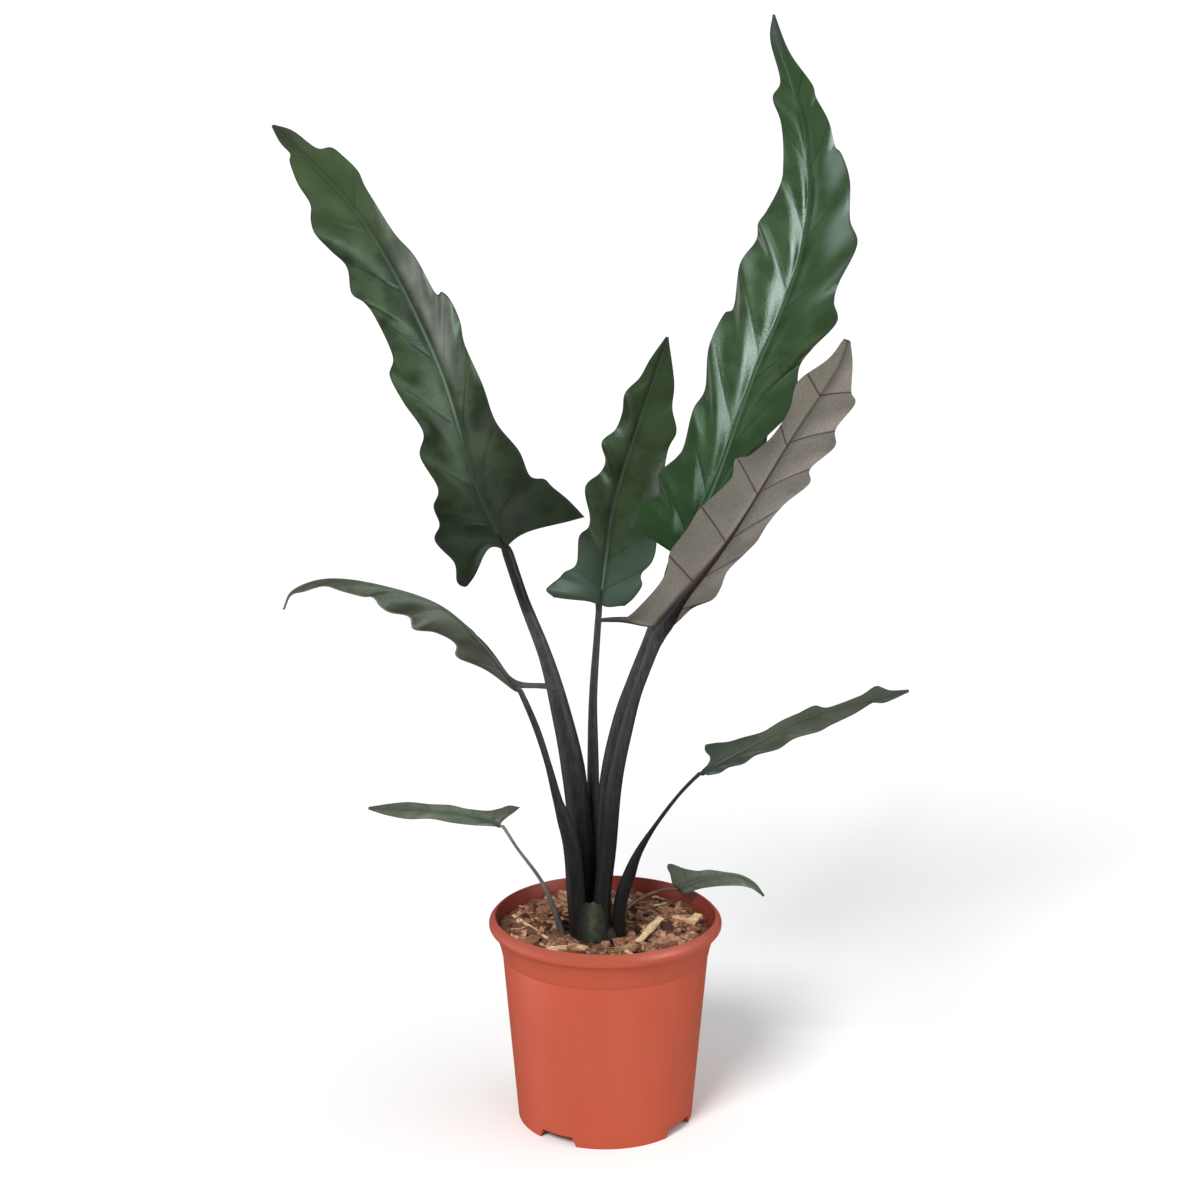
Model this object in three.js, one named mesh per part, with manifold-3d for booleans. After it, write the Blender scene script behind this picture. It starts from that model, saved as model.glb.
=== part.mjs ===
// Potted Alocasia lauterbachiana: a young aroid with eight long, wavy-edged leaves in a plastic nursery pot.
// Millimetres, +Z up. The origin is the middle of the pot's base, where the pot stands on a table.
// The front of the plant faces -Y.
import * as THREE from "three";
import { mergeVertices } from "three/addons/utils/BufferGeometryUtils.js";
import Module from "manifold-3d";

const wasm = await Module();
wasm.setup();

// Driving dimensions of the pot
const POT_HEIGHT = 110.6;
const LIP_RADIUS = 60.6;
const COLLAR_RADIUS = 54;
const WALL_TOP_RADIUS = 53.6;
const BASE_RADIUS = 45.9;
const WALL = 1.3;
const COLLAR_HEIGHT = 20.2;
const FLOOR_DISC_RADIUS = 30;
const CHANNEL_HEIGHT = 4.5;
const FLOOR_THICKNESS = 1.5;
const POT_SIDES = 48;

// Notches in the foot ring, a quarter turn apart
const NOTCH_COUNT = 4;
const NOTCH_TURN = -33;
const NOTCH_HEIGHT = 5;
const NOTCH_WIDTH_LOW = 23;
const NOTCH_WIDTH_HIGH = 18;
const DRAIN_RADIUS = 3;
const DRAIN_RING_RADIUS = 37.5;

// Driving dimensions of the soil and the crown
const FIT_GAP = 0.3;
const SOIL_LEVEL = 100;
const SOIL_BANK = 3.8;
const SOIL_LEAN = 1.1;
const SOIL_SIDES = 40;
const SOIL_RINGS = 9;
const CHIP_COUNT = 24;
const CROWN_CENTRE = [-5.5, -5.5];
const CROWN_RADIUS = 13.5;
const CROWN_FOOT = 84;
const CROWN_TOP = 106;
const STALK_FOOT = 97;

// Driving dimensions of the leaves
const BLADE_THICKNESS = 0.9;
const VEIN_SWEEP = 1.3;
const LOBE_BLEND = 12;
const SINUS_SHARE = 0.06;
const SINUS_PEAK = 256 / 27;
const ARCH = 0.28;
const NECK_LENGTH = 1.75;
const STALK_SIDES = 10;

// Colours, from the pot, the bark chips and the upper and lower sides of the leaves
const POT_COLOUR = 0xc65a44;
const SOIL_COLOUR = 0x6a4a32;
const CROWN_COLOUR = 0x3a4230;
const STALK_COLOUR = 0x2c2b2c;
const GREEN = 0x415240;
const GREY_GREEN = 0x59625a;
const UNDERSIDE = 0x7a746a;

const DEG = Math.PI / 180;
const plant = new THREE.Group();

function material(colour, roughness) {
  return new THREE.MeshStandardMaterial({ color: colour, roughness, metalness: 0 });
}

function addPart(name, geometry, colour, roughness) {
  const mesh = new THREE.Mesh(geometry, material(colour, roughness));
  mesh.name = name;
  plant.add(mesh);
}

// Closed triangle mesh from shared vertices and triangles
function meshGeometry(vertices, triangles) {
  const geometry = new THREE.BufferGeometry();
  geometry.setAttribute("position", new THREE.Float32BufferAttribute(vertices.flat(), 3));
  geometry.setIndex(triangles.flat());
  return geometry;
}

function toSolid(geometry) {
  const bare = geometry.clone();
  bare.deleteAttribute("normal");
  bare.deleteAttribute("uv");
  const merged = mergeVertices(bare, 1e-4);
  const vertProperties = new Float32Array(merged.attributes.position.array);
  const triVerts = new Uint32Array(merged.index.array);
  return new wasm.Manifold(new wasm.Mesh({ numProp: 3, vertProperties, triVerts }));
}

function fromSolid(solid) {
  const mesh = solid.getMesh();
  const geometry = new THREE.BufferGeometry();
  geometry.setAttribute("position", new THREE.Float32BufferAttribute(mesh.vertProperties, 3));
  geometry.setIndex(Array.from(mesh.triVerts));
  return geometry;
}

// The largest piece of a cut solid, without loose scraps
function mainPiece(solid) {
  const pieces = solid.decompose();
  pieces.sort((a, b) => b.volume() - a.volume());
  return pieces[0];
}

// Turned body about Z, from a profile of [radius, height] that starts and ends on the axis
function turned(profile, sides) {
  const points = profile.map(([r, z]) => new THREE.Vector2(r, z));
  const geometry = new THREE.LatheGeometry(points, sides);
  geometry.rotateX(Math.PI / 2);
  return geometry;
}

// Repeatable random numbers between 0 and 1
function seededRandom(seed) {
  let state = seed;
  return () => {
    state = (state * 16807) % 2147483647;
    return state / 2147483647;
  };
}

function smoothCurve(points) {
  const vectors = points.map(([x, y, z]) => new THREE.Vector3(x, y, z));
  return new THREE.CatmullRomCurve3(vectors, false, "catmullrom", 0.5);
}

// Pot

const COLLAR_LOW = POT_HEIGHT - COLLAR_HEIGHT;
const CHANNEL_TOP = CHANNEL_HEIGHT + FLOOR_THICKNESS;
const LIP_INNER_RADIUS = LIP_RADIUS - 3.8;
const FLARE_RADIUS = LIP_RADIUS - 4.8;
const FLARE_HEIGHT = POT_HEIGHT - 5.5;
const NECK_RADIUS = COLLAR_RADIUS - 0.6;
const NECK_HEIGHT = POT_HEIGHT - 16.3;

function potProfile() {
  const footInner = BASE_RADIUS - 2.2;
  return [
    [0, 0],
    [FLOOR_DISC_RADIUS, 0],
    [FLOOR_DISC_RADIUS + 2, CHANNEL_HEIGHT],
    [footInner - 0.6, CHANNEL_HEIGHT],
    [footInner, 0],
    [BASE_RADIUS, 0],
    [WALL_TOP_RADIUS, COLLAR_LOW],
    [COLLAR_RADIUS, COLLAR_LOW + 0.8],
    [COLLAR_RADIUS + 0.7, NECK_HEIGHT],
    [COLLAR_RADIUS + 2, POT_HEIGHT - 12],
    [COLLAR_RADIUS + 3.4, POT_HEIGHT - 9],
    [COLLAR_RADIUS + 4.9, POT_HEIGHT - 6.4],
    [LIP_RADIUS - 0.4, POT_HEIGHT - 4.9],
    [LIP_RADIUS, POT_HEIGHT - 3.8],
    [LIP_RADIUS - 0.4, POT_HEIGHT - 2.6],
    [LIP_RADIUS - 1.8, POT_HEIGHT - 0.9],
    [LIP_RADIUS - 2.8, POT_HEIGHT],
    [LIP_INNER_RADIUS + 0.4, POT_HEIGHT - 0.3],
    [LIP_INNER_RADIUS, POT_HEIGHT - 1.6],
    [FLARE_RADIUS, FLARE_HEIGHT],
    [NECK_RADIUS, NECK_HEIGHT],
    [COLLAR_RADIUS - WALL, COLLAR_LOW + 0.4],
    [WALL_TOP_RADIUS - WALL, COLLAR_LOW - 0.8],
    [BASE_RADIUS + 0.6 - WALL, CHANNEL_TOP + 1.2],
    [BASE_RADIUS - 0.4 - WALL, CHANNEL_TOP],
    [FLOOR_DISC_RADIUS + 0.8, CHANNEL_TOP],
    [FLOOR_DISC_RADIUS - 1.2, FLOOR_THICKNESS],
    [0, FLOOR_THICKNESS],
  ];
}

// Slanted block that cuts one notch through the foot ring
function notchBlock() {
  const outline = new THREE.Shape();
  outline.moveTo(-NOTCH_WIDTH_LOW / 2, -1);
  outline.lineTo(NOTCH_WIDTH_LOW / 2, -1);
  outline.lineTo(NOTCH_WIDTH_HIGH / 2, NOTCH_HEIGHT);
  outline.lineTo(-NOTCH_WIDTH_HIGH / 2, NOTCH_HEIGHT);
  outline.closePath();
  const block = new THREE.ExtrudeGeometry(outline, { depth: 8, bevelEnabled: false });
  block.rotateX(Math.PI / 2);
  block.translate(0, -BASE_RADIUS + 5.2, 0);
  return block;
}

function makePot() {
  let pot = toSolid(turned(potProfile(), POT_SIDES));
  for (let i = 0; i < NOTCH_COUNT; i += 1) {
    const turn = (NOTCH_TURN + (360 / NOTCH_COUNT) * i) * DEG;
    const notch = notchBlock().rotateZ(turn);
    pot = pot.subtract(toSolid(notch));
    const drain = new THREE.CylinderGeometry(DRAIN_RADIUS, DRAIN_RADIUS, 6, 12);
    drain.rotateX(Math.PI / 2);
    drain.translate(0, -DRAIN_RING_RADIUS, CHANNEL_HEIGHT);
    drain.rotateZ(turn);
    pot = pot.subtract(toSolid(drain));
  }
  addPart("pot", fromSolid(pot), POT_COLOUR, 0.45);
}

// Leaves. Every length is in millimetres and every angle in degrees.
// rib: points of the midrib from the stalk to the leaf's tip.
// face: which way the upper side looks at the base and at the tip.
// fold: how far each half rises above the rib at the lobes, the base and the tip; below 0 it drops.
// sinus: how far the edge between the stalk and each lobe is drawn in towards the tip.
// left, right: the edge from the tip of the basal lobe to the leaf's tip, each point as
// [distance along the rib, distance out from it, rise of the wavy edge].
// neck: the stalk's radius just under the blade.
// stalk: centre line from the leaf down to the crown, each point as [x, y, z, radius].
const LEAVES = [
  {
    name: "back_left",
    rows: 46,
    ribWidth: 2.3,
    colour: GREEN,
    rib: [[-52, 34, 298], [-68, 52, 328], [-90, 84, 390], [-130, 116, 460], [-181, 140, 511]],
    face: [[-0.1, -0.85, 0.35], [-0.15, -0.65, 0.7]],
    fold: [22, 22, 24],
    sinus: [5, 2.2],
    left: [
      [-11.8, 27.3, -4], [-11.8, 29.5, -4], [-8, 31.8, -4], [2, 28.6, -2], [16, 32.3, 2],
      [24, 26.6, -2], [32, 25.5, 2], [42, 20.3, -3], [58, 24.1, 3], [73, 19.8, -3], [91, 25.3, 1],
      [108, 27.5, 3], [121, 22, -3], [144, 22, 0], [154, 24, 1], [161, 28.2, 3], [179, 23.1, -3],
      [190, 26.8, 0], [202, 30, 3], [212, 27, 2], [224, 19.1, -3], [236, 17.5, 1], [249, 11.2, 2],
      [256, 4.5, -2], [263, 5.2, 1], [275, 0.7, 0],
    ],
    right: [
      [-8.8, 47.6, -5], [1, 44.4, -3], [10, 39.6, 1], [17, 37.4, 2], [26, 31, -1], [45, 30.1, -2],
      [65, 22.2, 2], [88, 20.5, -3], [109, 18.7, 2], [124, 21.6, -3], [134, 21.5, 3], [140, 19, 5],
      [144, 15.6, -2], [165, 14.4, 3], [185, 11.3, -2], [210, 12.1, 1], [222, 15.9, -2],
      [232, 15.2, 0], [240, 13, 3], [248, 8.9, -2], [264, 6, 0], [275, 0.7, 0],
    ],
    neck: 2.9,
    stalk: [
      [-42.3, 26, 272, 2.9], [-31, 19, 244, 3.6], [-23.2, 12, 217, 5], [-16.7, 6, 187, 6.2],
      [-12.8, 1, 151, 6.1], [-11.5, -1, 118, 5.4], [-10.7, -1, 97, 5],
    ],
  },
  {
    name: "back_right",
    rows: 50,
    ribWidth: 2.4,
    colour: GREEN,
    rib: [[36, 8, 299], [54, 20, 329], [75, 46, 381], [102, 78, 444], [107, 104, 499], [90, 132, 569]],
    face: [[-0.2, -0.85, 0.35], [-0.1, -0.7, 0.6]],
    fold: [18, 18, 14],
    sinus: [0, 0],
    left: [
      [1, 28.5, -3], [8, 29, 0], [16, 28.5, 1], [23, 24, -2], [34, 28, 2], [48, 24, -2],
      [55, 22, 0], [74, 23, 3], [89, 22.3, -3], [108, 26.7, 3], [129, 27.6, -2], [135, 24.5, -2],
      [158, 28.5, 3], [179, 25, -2], [187, 25.1, 2], [197, 22.4, -1], [214, 15.7, 2],
      [228, 14, -2], [252, 12.2, 1], [266, 13.7, 3], [277, 6.3, -2], [299, 5.8, 1], [313, 0.7, 0],
    ],
    right: [
      [2, 30, -3], [14, 28, 1], [28, 30, 2], [44, 25, -2], [60, 24, 1], [72, 20, 3], [84, 29, 5],
      [92, 30, 3], [114, 22, -3], [125, 25.5, 0], [140, 33.7, 4], [153, 26.3, -2], [164, 25.4, -2],
      [181, 30.7, 3], [196, 23.5, -2], [215, 22, 1], [229, 18, 1], [235, 15, -2], [247, 13.5, 1],
      [262, 10, -1], [269, 9.5, 1], [290, 3, 0], [313, 0.7, 0],
    ],
    neck: 2.4,
    stalk: [
      [28, 7, 274, 2.5], [22, 6, 256, 2.7], [14, 4, 235, 3], [7, 2, 214, 3.4], [1, 0, 184, 3.8],
      [-1, -2, 147, 4.2], [-1, -2, 97, 4.3],
    ],
  },
  {
    name: "front_right",
    rows: 38,
    ribWidth: 2.2,
    colour: UNDERSIDE,
    rib: [[26.2, -16.6, 267], [58, -44, 316], [85, -68, 368], [104, -82, 402], [109, -88, 417]],
    face: [[0.1, 0.9, 0.5], [0.1, 0.85, 0.5]],
    fold: [12, 12, 10],
    sinus: [-2, -1.5],
    left: [
      [-4, 6.9, -2], [10, 7, 0], [20, 8.5, 0], [27, 15, 2], [38, 13, -1], [49, 10, -1],
      [60, 12.5, 1], [69, 14.5, 2], [82, 13, -1], [95, 15.4, 0], [108, 22, 3], [119, 16.5, -2],
      [132, 23, 3], [144, 16.2, -2], [157, 19, 3], [164, 12, -1], [178, 4.8, 0], [187, 1, 0],
    ],
    right: [
      [-14.2, 26.8, -4], [-12, 27.6, -4], [-5.8, 19.2, -3], [0, 15.6, -2], [19, 13.4, 0],
      [30, 14, 2], [41, 18.5, 2], [60, 19.5, -1], [72, 19.5, 1], [82, 18, -1], [97, 14.5, 0],
      [105, 16.5, 3], [113, 13, -2], [127, 9, -3], [142, 8, 0], [155, 11, 3], [173, 5.8, 0],
      [187, 1.8, 0],
    ],
    neck: 3.3,
    stalk: [
      [22.6, -16, 254, 3.1], [15.9, -16, 235, 2.8], [11.6, -16, 219, 3.1], [5, -15, 188, 3.8],
      [1.4, -14, 151, 4.2], [-2, -13, 120, 4.3], [-2.6, -13, 97, 4.6],
    ],
  },
  {
    name: "back_middle",
    rows: 30,
    ribWidth: 1.8,
    colour: GREEN,
    rib: [[-3, 36, 267], [0, 42, 290], [5, 50, 320], [18, 64, 360], [33, 80, 402]],
    face: [[0.45, -0.8, 0.4], [0.4, -0.75, 0.55]],
    fold: [18, 18, 14],
    sinus: [0.8, -0.8],
    left: [
      [0.3, 31, -3], [3.5, 37, -3], [7, 33.8, -3], [11, 29, -2], [14, 27.2, 0], [19, 20.7, 2],
      [33, 21.3, 2], [39, 13.4, -2], [45, 14.3, -1], [56, 22.2, 3], [66, 13.2, -2], [73, 12, -2],
      [80, 19.5, 3], [90, 12.3, -1], [100, 11.5, -1], [109, 14.5, 2], [121, 7.7, -2],
      [132, 5.9, 0], [147, 1.2, 0],
    ],
    right: [
      [1.2, 14, -2], [6, 18, -1], [13, 21, 0], [19, 19.4, 1], [31, 24.8, 2], [63, 23.5, -2],
      [89, 19.4, -1], [100, 19.6, 2], [112, 14.6, -1], [125, 10.6, 1], [145, 1.4, 0],
      [147, 0.7, 0],
    ],
    neck: 1.7,
    stalk: [
      [-4.5, 31, 249, 1.8], [-6.4, 22, 220, 2.2], [-6.4, 15, 188, 3], [-6, 9, 149, 3.5],
      [-5, 6, 118, 3.5], [-5, 5, 97, 3.5],
    ],
  },
  {
    name: "front_left",
    rows: 32,
    ribWidth: 1.5,
    colour: GREY_GREEN,
    rib: [
      [-43.3, -29, 238.9], [-61, -38, 265], [-80, -46, 285], [-107, -56, 297], [-131, -64, 302],
      [-147, -70, 298], [-152, -72, 289],
    ],
    face: [[-0.35, -0.45, 0.85], [-0.35, -0.45, 0.85]],
    fold: [-20, -54, -44],
    sinus: [0, 0],
    left: [
      [0, 3.5, 0], [10, 4.9, 0], [18, 7.5, 0], [35, 15, 2], [40, 8.5, -2], [55, 12, 0],
      [71, 17.5, 2], [75, 9.2, -2], [86, 11.5, 0], [92, 10.6, 1], [96, 5.5, -1], [102, 7, 0],
      [113, 6.5, 1], [121, 2.4, -1], [132, 4, 1], [140, 0.9, 0], [150, 0.4, 0],
    ],
    right: [
      [-20, 23, 0], [-14, 20, 0], [-6, 9, 0], [1, 3.6, 0], [10, 5.2, 0], [22, 9, 1], [35, 14, 2],
      [44, 11, -1], [58, 14, 1], [72, 15, 2], [80, 11, -2], [92, 11, 1], [104, 7, -1], [116, 7, 1],
      [130, 3.5, 0], [140, 0.9, 0], [150, 0.4, 0],
    ],
    neck: 1.4,
    stalk: [
      [-34.5, -26, 218, 1.7], [-28.9, -24, 199, 1.7], [-24.2, -21, 179, 2.4], [-21, -19, 168, 3.6],
      [-17, -17, 151, 4.4], [-15, -14, 123, 4.7], [-13, -12, 97, 4.6],
    ],
  },
  {
    name: "low_left",
    rows: 18,
    ribWidth: 1,
    colour: GREY_GREEN,
    rib: [
      [-54, -5, 160], [-60, -6, 163], [-70, -7.3, 166], [-85, -9, 168.5], [-105, -10, 170.5],
      [-121, -10, 171],
    ],
    face: [[0, -0.47, 1], [0, -0.47, 1]],
    fold: [3, 3, 3],
    sinus: [0, 0.6],
    left: [
      [1, 3.2, 0], [8, 4.4, 0], [16, 7, 0.3], [26, 7, 0], [37, 5.2, -0.3], [48, 7.5, 0.3],
      [59, 5, 0], [69, 0.7, 0],
    ],
    right: [
      [-9, 17.8, 0], [-3, 16, 0], [2, 11.2, 0], [8, 6.5, 0], [18, 5, -0.3], [27, 5.5, 0.3],
      [38, 5, 0], [48, 5, 0.3], [58, 3.5, 0], [69, 0.7, 0],
    ],
    neck: 0.9,
    stalk: [[-45.5, -5, 148, 0.8], [-33.4, -6, 131, 1], [-26.8, -7, 116, 1.6], [-20, -8, 94, 2.1]],
  },
  {
    name: "low_right",
    rows: 24,
    ribWidth: 1.2,
    colour: GREY_GREEN,
    rib: [[48, -30, 196], [67, -34, 208], [96, -38, 225], [120, -42, 234], [148, -44, 242]],
    face: [[0, -0.47, 1], [0, -0.47, 1]],
    fold: [3, 3, 3],
    sinus: [5, 1],
    left: [
      [5, 17, 0], [11, 14.3, 0], [18, 10.5, 0], [26, 8, 0.3], [37, 5, 0], [47, 5.5, 0.3],
      [58, 5.4, 0.3], [65, 6.6, 0.3], [72, 3.3, -0.5], [90, 5.2, 0], [97, 8.4, 0.3], [103, 3.5, 0],
      [112, 0.7, 0],
    ],
    right: [
      [3, 4, 0], [10, 7.1, 0], [15, 6.1, -0.3], [23, 9.6, 0.3], [30, 7.5, -0.3], [42, 12.1, 0.3],
      [51, 10, -0.3], [65, 13.4, 0.3], [72, 10.9, 0], [84, 6.4, -0.3], [94, 1.4, -0.5],
      [99, 4.9, 0.5], [112, 0.7, 0],
    ],
    neck: 1,
    stalk: [
      [36.2, -27, 183, 0.9], [24.6, -22, 165, 1.1], [16.7, -18, 150, 2.1], [12.2, -15, 137, 3.3],
      [7.7, -12, 120, 3.5], [6.5, -8, 97, 3.2],
    ],
  },
  {
    name: "lowest_right",
    rows: 14,
    ribWidth: 0.9,
    colour: GREY_GREEN,
    rib: [[39.4, 28, 113.8], [53, 31, 118], [69, 33, 119], [79, 33, 115], [85, 32, 108]],
    face: [[0, -0.47, 1], [0.3, -0.4, 0.9]],
    fold: [3, 3, 3],
    sinus: [-1.8, 0],
    left: [
      [0, 18.3, 0], [7, 11, 0], [13, 6.5, 0], [18, 5.5, 0.3], [27, 2.7, 0], [34, 1.5, 0.3],
      [50, 0.7, 0],
    ],
    right: [[1, 5, 0], [9, 5.6, 0], [18, 7, 0.3], [32, 7.3, 0], [43, 3.8, 0], [50, 0.7, 0]],
    neck: 0.9,
    stalk: [[29, 22, 115, 0.9], [18, 14, 113, 1], [9, 6, 108, 1.3], [6, 1, 94, 1.6]],
  },
];

// Place and directions at a point along a leaf's rib: at, along, up from the upper face, and out to the right
function ribFrame(leaf, curve, length, along) {
  const u = Math.min(Math.max(along / length, 0), 1);
  const tangent = curve.getTangentAt(u);
  const faceBase = new THREE.Vector3(...leaf.face[0]).normalize();
  const faceTip = new THREE.Vector3(...leaf.face[1]).normalize();
  const up = faceBase.lerp(faceTip, u);
  up.addScaledVector(tangent, -up.dot(tangent)).normalize();
  const out = new THREE.Vector3().crossVectors(tangent, up);
  const at = curve.getPointAt(u).addScaledVector(tangent, Math.min(along, 0));
  const lobe = THREE.MathUtils.smoothstep(-along, -LOBE_BLEND, LOBE_BLEND);
  const bladeFold = THREE.MathUtils.lerp(leaf.fold[1], leaf.fold[2], u);
  const fold = THREE.MathUtils.lerp(bladeFold, leaf.fold[0], lobe) * DEG;
  return { at, up, out, fold };
}

// Middle of the blade at a distance along and out from the rib, on side -1 or 1, with its wave
function bladePoint(leaf, curve, length, along, out, side, lift) {
  const frame = ribFrame(leaf, curve, length, along);
  const point = frame.at.clone();
  point.addScaledVector(frame.out, side * out * Math.cos(frame.fold));
  point.addScaledVector(frame.up, out * Math.sin(frame.fold) + lift);
  return { point, up: frame.up };
}

// Blade as a grid of rows from rib to edge, the same triangles on both faces, with the midrib as a keel below
function bladeGeometry(leaf) {
  const curve = smoothCurve(leaf.rib);
  const length = curve.getLength();
  const edges = { "-1": smoothCurve(leaf.left), 1: smoothCurve(leaf.right) };
  const across = [-1, -0.55, 0, 0, 0, 0.55, 1];
  const columns = across.length;
  const middle = (columns - 1) / 2;
  const top = [];
  const bottom = [];
  for (let row = 0; row <= leaf.rows; row += 1) {
    const u = row / leaf.rows;
    const ribAlong = u * length;
    for (let column = 0; column < columns; column += 1) {
      const side = column < middle ? -1 : 1;
      const edge = edges[side].getPointAt(u ** (1 / VEIN_SWEEP));
      const ribEdge = Math.min(leaf.ribWidth * (1 - 0.75 * u), edge.y * 0.4);
      const share = Math.abs(across[column]);
      const onRib = Math.abs(column - middle) < 2;
      const sinus = leaf.sinus[side < 0 ? 0 : 1] * Math.max(0, 1 - u / SINUS_SHARE);
      const drawnIn = sinus * SINUS_PEAK * share * (1 - share) ** 3;
      const along = onRib ? ribAlong : ribAlong + (edge.x - ribAlong) * share + drawnIn;
      const out = onRib ? Math.abs(column - middle) * ribEdge : ribEdge + (edge.y - ribEdge) * share;
      const lift = onRib ? 0 : edge.z * share ** 2 + ARCH * edge.y * share * (1 - share);
      const { point, up } = bladePoint(leaf, curve, length, along, out, side, lift);
      const keel = column === middle ? leaf.ribWidth * (1 - 0.8 * u) : 0;
      top.push(point.clone().addScaledVector(up, BLADE_THICKNESS / 2).toArray());
      bottom.push(point.clone().addScaledVector(up, -BLADE_THICKNESS / 2 - keel).toArray());
    }
  }
  return slab(top, bottom, leaf.rows + 1, columns);
}

// Closed slab between two grids of points with the same rows and columns
function slab(top, bottom, rows, columns) {
  const triangles = [];
  const shift = top.length;
  const quad = (a, b, c, d) => triangles.push([a, b, c], [a, c, d]);
  for (let r = 0; r < rows - 1; r += 1) {
    for (let c = 0; c < columns - 1; c += 1) {
      const a = r * columns + c;
      const b = a + 1;
      const d = a + columns;
      const e = d + 1;
      triangles.push([a, b, e], [a, e, d]);
      triangles.push([a + shift, e + shift, b + shift], [a + shift, d + shift, e + shift]);
    }
  }
  for (let r = 0; r < rows - 1; r += 1) {
    const left = r * columns;
    const right = left + columns - 1;
    quad(left, left + columns, left + columns + shift, left + shift);
    quad(right, right + shift, right + columns + shift, right + columns);
  }
  for (let c = 0; c < columns - 1; c += 1) {
    const last = (rows - 1) * columns + c;
    quad(c, c + shift, c + 1 + shift, c + 1);
    quad(last, last + 1, last + 1 + shift, last + shift);
  }
  return meshGeometry([...top, ...bottom], triangles);
}

// Centre line and radii of a stalk, from its foot up to just under the blade
function stalkLine(leaf) {
  const curve = smoothCurve(leaf.rib);
  const direction = curve.getTangentAt(0);
  const base = new THREE.Vector3(...leaf.rib[0]);
  const end = base.clone().addScaledVector(direction, -FIT_GAP);
  const below = base.clone().addScaledVector(direction, -NECK_LENGTH * leaf.ribWidth);
  const points = [[...end.toArray(), leaf.ribWidth], [...below.toArray(), leaf.neck], ...leaf.stalk];
  return points.reverse();
}

// Round tapered stalk, closed at both ends; extra widens it where it has to clear a hole
function stalkGeometry(leaf, extra = 0) {
  const line = stalkLine(leaf);
  const curve = smoothCurve(line);
  const radii = smoothCurve(line.map((p) => [p[3], 0, 0]));
  const steps = Math.max(8, Math.round(curve.getLength() / 16));
  const vertices = [];
  const triangles = [];
  let side = new THREE.Vector3(1, 0, 0);
  for (let i = 0; i <= steps; i += 1) {
    const t = i / steps;
    const centre = curve.getPoint(t);
    const tangent = curve.getTangent(t);
    side = side.addScaledVector(tangent, -side.dot(tangent)).normalize();
    const other = new THREE.Vector3().crossVectors(tangent, side);
    const radius = radii.getPoint(t).x + extra;
    for (let k = 0; k < STALK_SIDES; k += 1) {
      const angle = (k / STALK_SIDES) * 2 * Math.PI;
      const point = centre.clone();
      point.addScaledVector(side, Math.cos(angle) * radius);
      point.addScaledVector(other, Math.sin(angle) * radius);
      vertices.push(point.toArray());
    }
  }
  for (let i = 0; i < steps; i += 1) {
    for (let k = 0; k < STALK_SIDES; k += 1) {
      const a = i * STALK_SIDES + k;
      const b = i * STALK_SIDES + ((k + 1) % STALK_SIDES);
      triangles.push([a, b, b + STALK_SIDES], [a, b + STALK_SIDES, a + STALK_SIDES]);
    }
  }
  const last = steps * STALK_SIDES;
  for (let k = 1; k < STALK_SIDES - 1; k += 1) {
    triangles.push([0, k + 1, k], [last, last + k, last + k + 1]);
  }
  return meshGeometry(vertices, triangles);
}

// Crown: the swollen foot that all the stalks rise from, with the stub of an old leaf sheath in front

function crownBody(extra) {
  const r = CROWN_RADIUS + extra;
  const profile = [
    [0, CROWN_FOOT - extra],
    [r * 0.55, CROWN_FOOT - extra],
    [r * 0.9, CROWN_FOOT + 5],
    [r, STALK_FOOT - 3],
    [r * 0.97, STALK_FOOT + 1],
    [r * 0.8, CROWN_TOP - 2],
    [r * 0.45, CROWN_TOP + extra],
    [0, CROWN_TOP + extra],
  ];
  const body = turned(profile, 24);
  body.translate(CROWN_CENTRE[0], CROWN_CENTRE[1], 0);
  return toSolid(body);
}

// Tongue-shaped stub of an old leaf sheath that stands against the front of the crown
function sheathStub() {
  const rows = 6;
  const columns = 9;
  const top = [];
  const bottom = [];
  for (let r = 0; r < rows; r += 1) {
    const rise = r / (rows - 1);
    for (let c = 0; c < columns; c += 1) {
      const across = (c / (columns - 1)) * 2 - 1;
      const halfWidth = 46 - 10 * rise;
      const angle = (-96 + across * halfWidth) * DEG;
      const z = 92 + rise * (29 - 9 * across ** 2);
      const radius = CROWN_RADIUS - 0.5 - 2.6 * rise;
      const x = Math.cos(angle);
      const y = Math.sin(angle);
      top.push([CROWN_CENTRE[0] + x * radius, CROWN_CENTRE[1] + y * radius, z]);
      bottom.push([CROWN_CENTRE[0] + x * (radius - 3), CROWN_CENTRE[1] + y * (radius - 3), z]);
    }
  }
  return toSolid(slab(top, bottom, rows, columns));
}

function makeCrown() {
  let crown = crownBody(0).add(sheathStub());
  for (const leaf of LEAVES) {
    crown = crown.subtract(toSolid(stalkGeometry(leaf, FIT_GAP)));
  }
  addPart("crown", fromSolid(mainPiece(crown)), CROWN_COLOUR, 0.5);
}

// Potting mix of bark and coco chips that fills the pot

// Radius of the mix where its top meets the pot's flared wall
function soilRimRadius(z) {
  const share = THREE.MathUtils.clamp((z - NECK_HEIGHT) / (FLARE_HEIGHT - NECK_HEIGHT), 0, 1);
  return THREE.MathUtils.lerp(NECK_RADIUS, FLARE_RADIUS, share) - FIT_GAP - 0.3;
}

// Uneven top of the mix: banked up to the rim and to the left, with broad heaps and finer lumps
function soilRise(x, y) {
  const rim = THREE.MathUtils.smoothstep(Math.hypot(x, y), 14, 50);
  const bank = rim * (SOIL_BANK - (SOIL_LEAN * x) / LIP_RADIUS);
  const heaps = 0.8 * Math.sin(x / 11 + 0.6) * Math.cos(y / 9 - 0.4);
  const lumps = 0.8 * Math.sin(x / 3.7 + y / 6.1) * Math.sin(y / 4.3 - x / 8.9 + 1.2);
  return bank + heaps + lumps;
}

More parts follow.
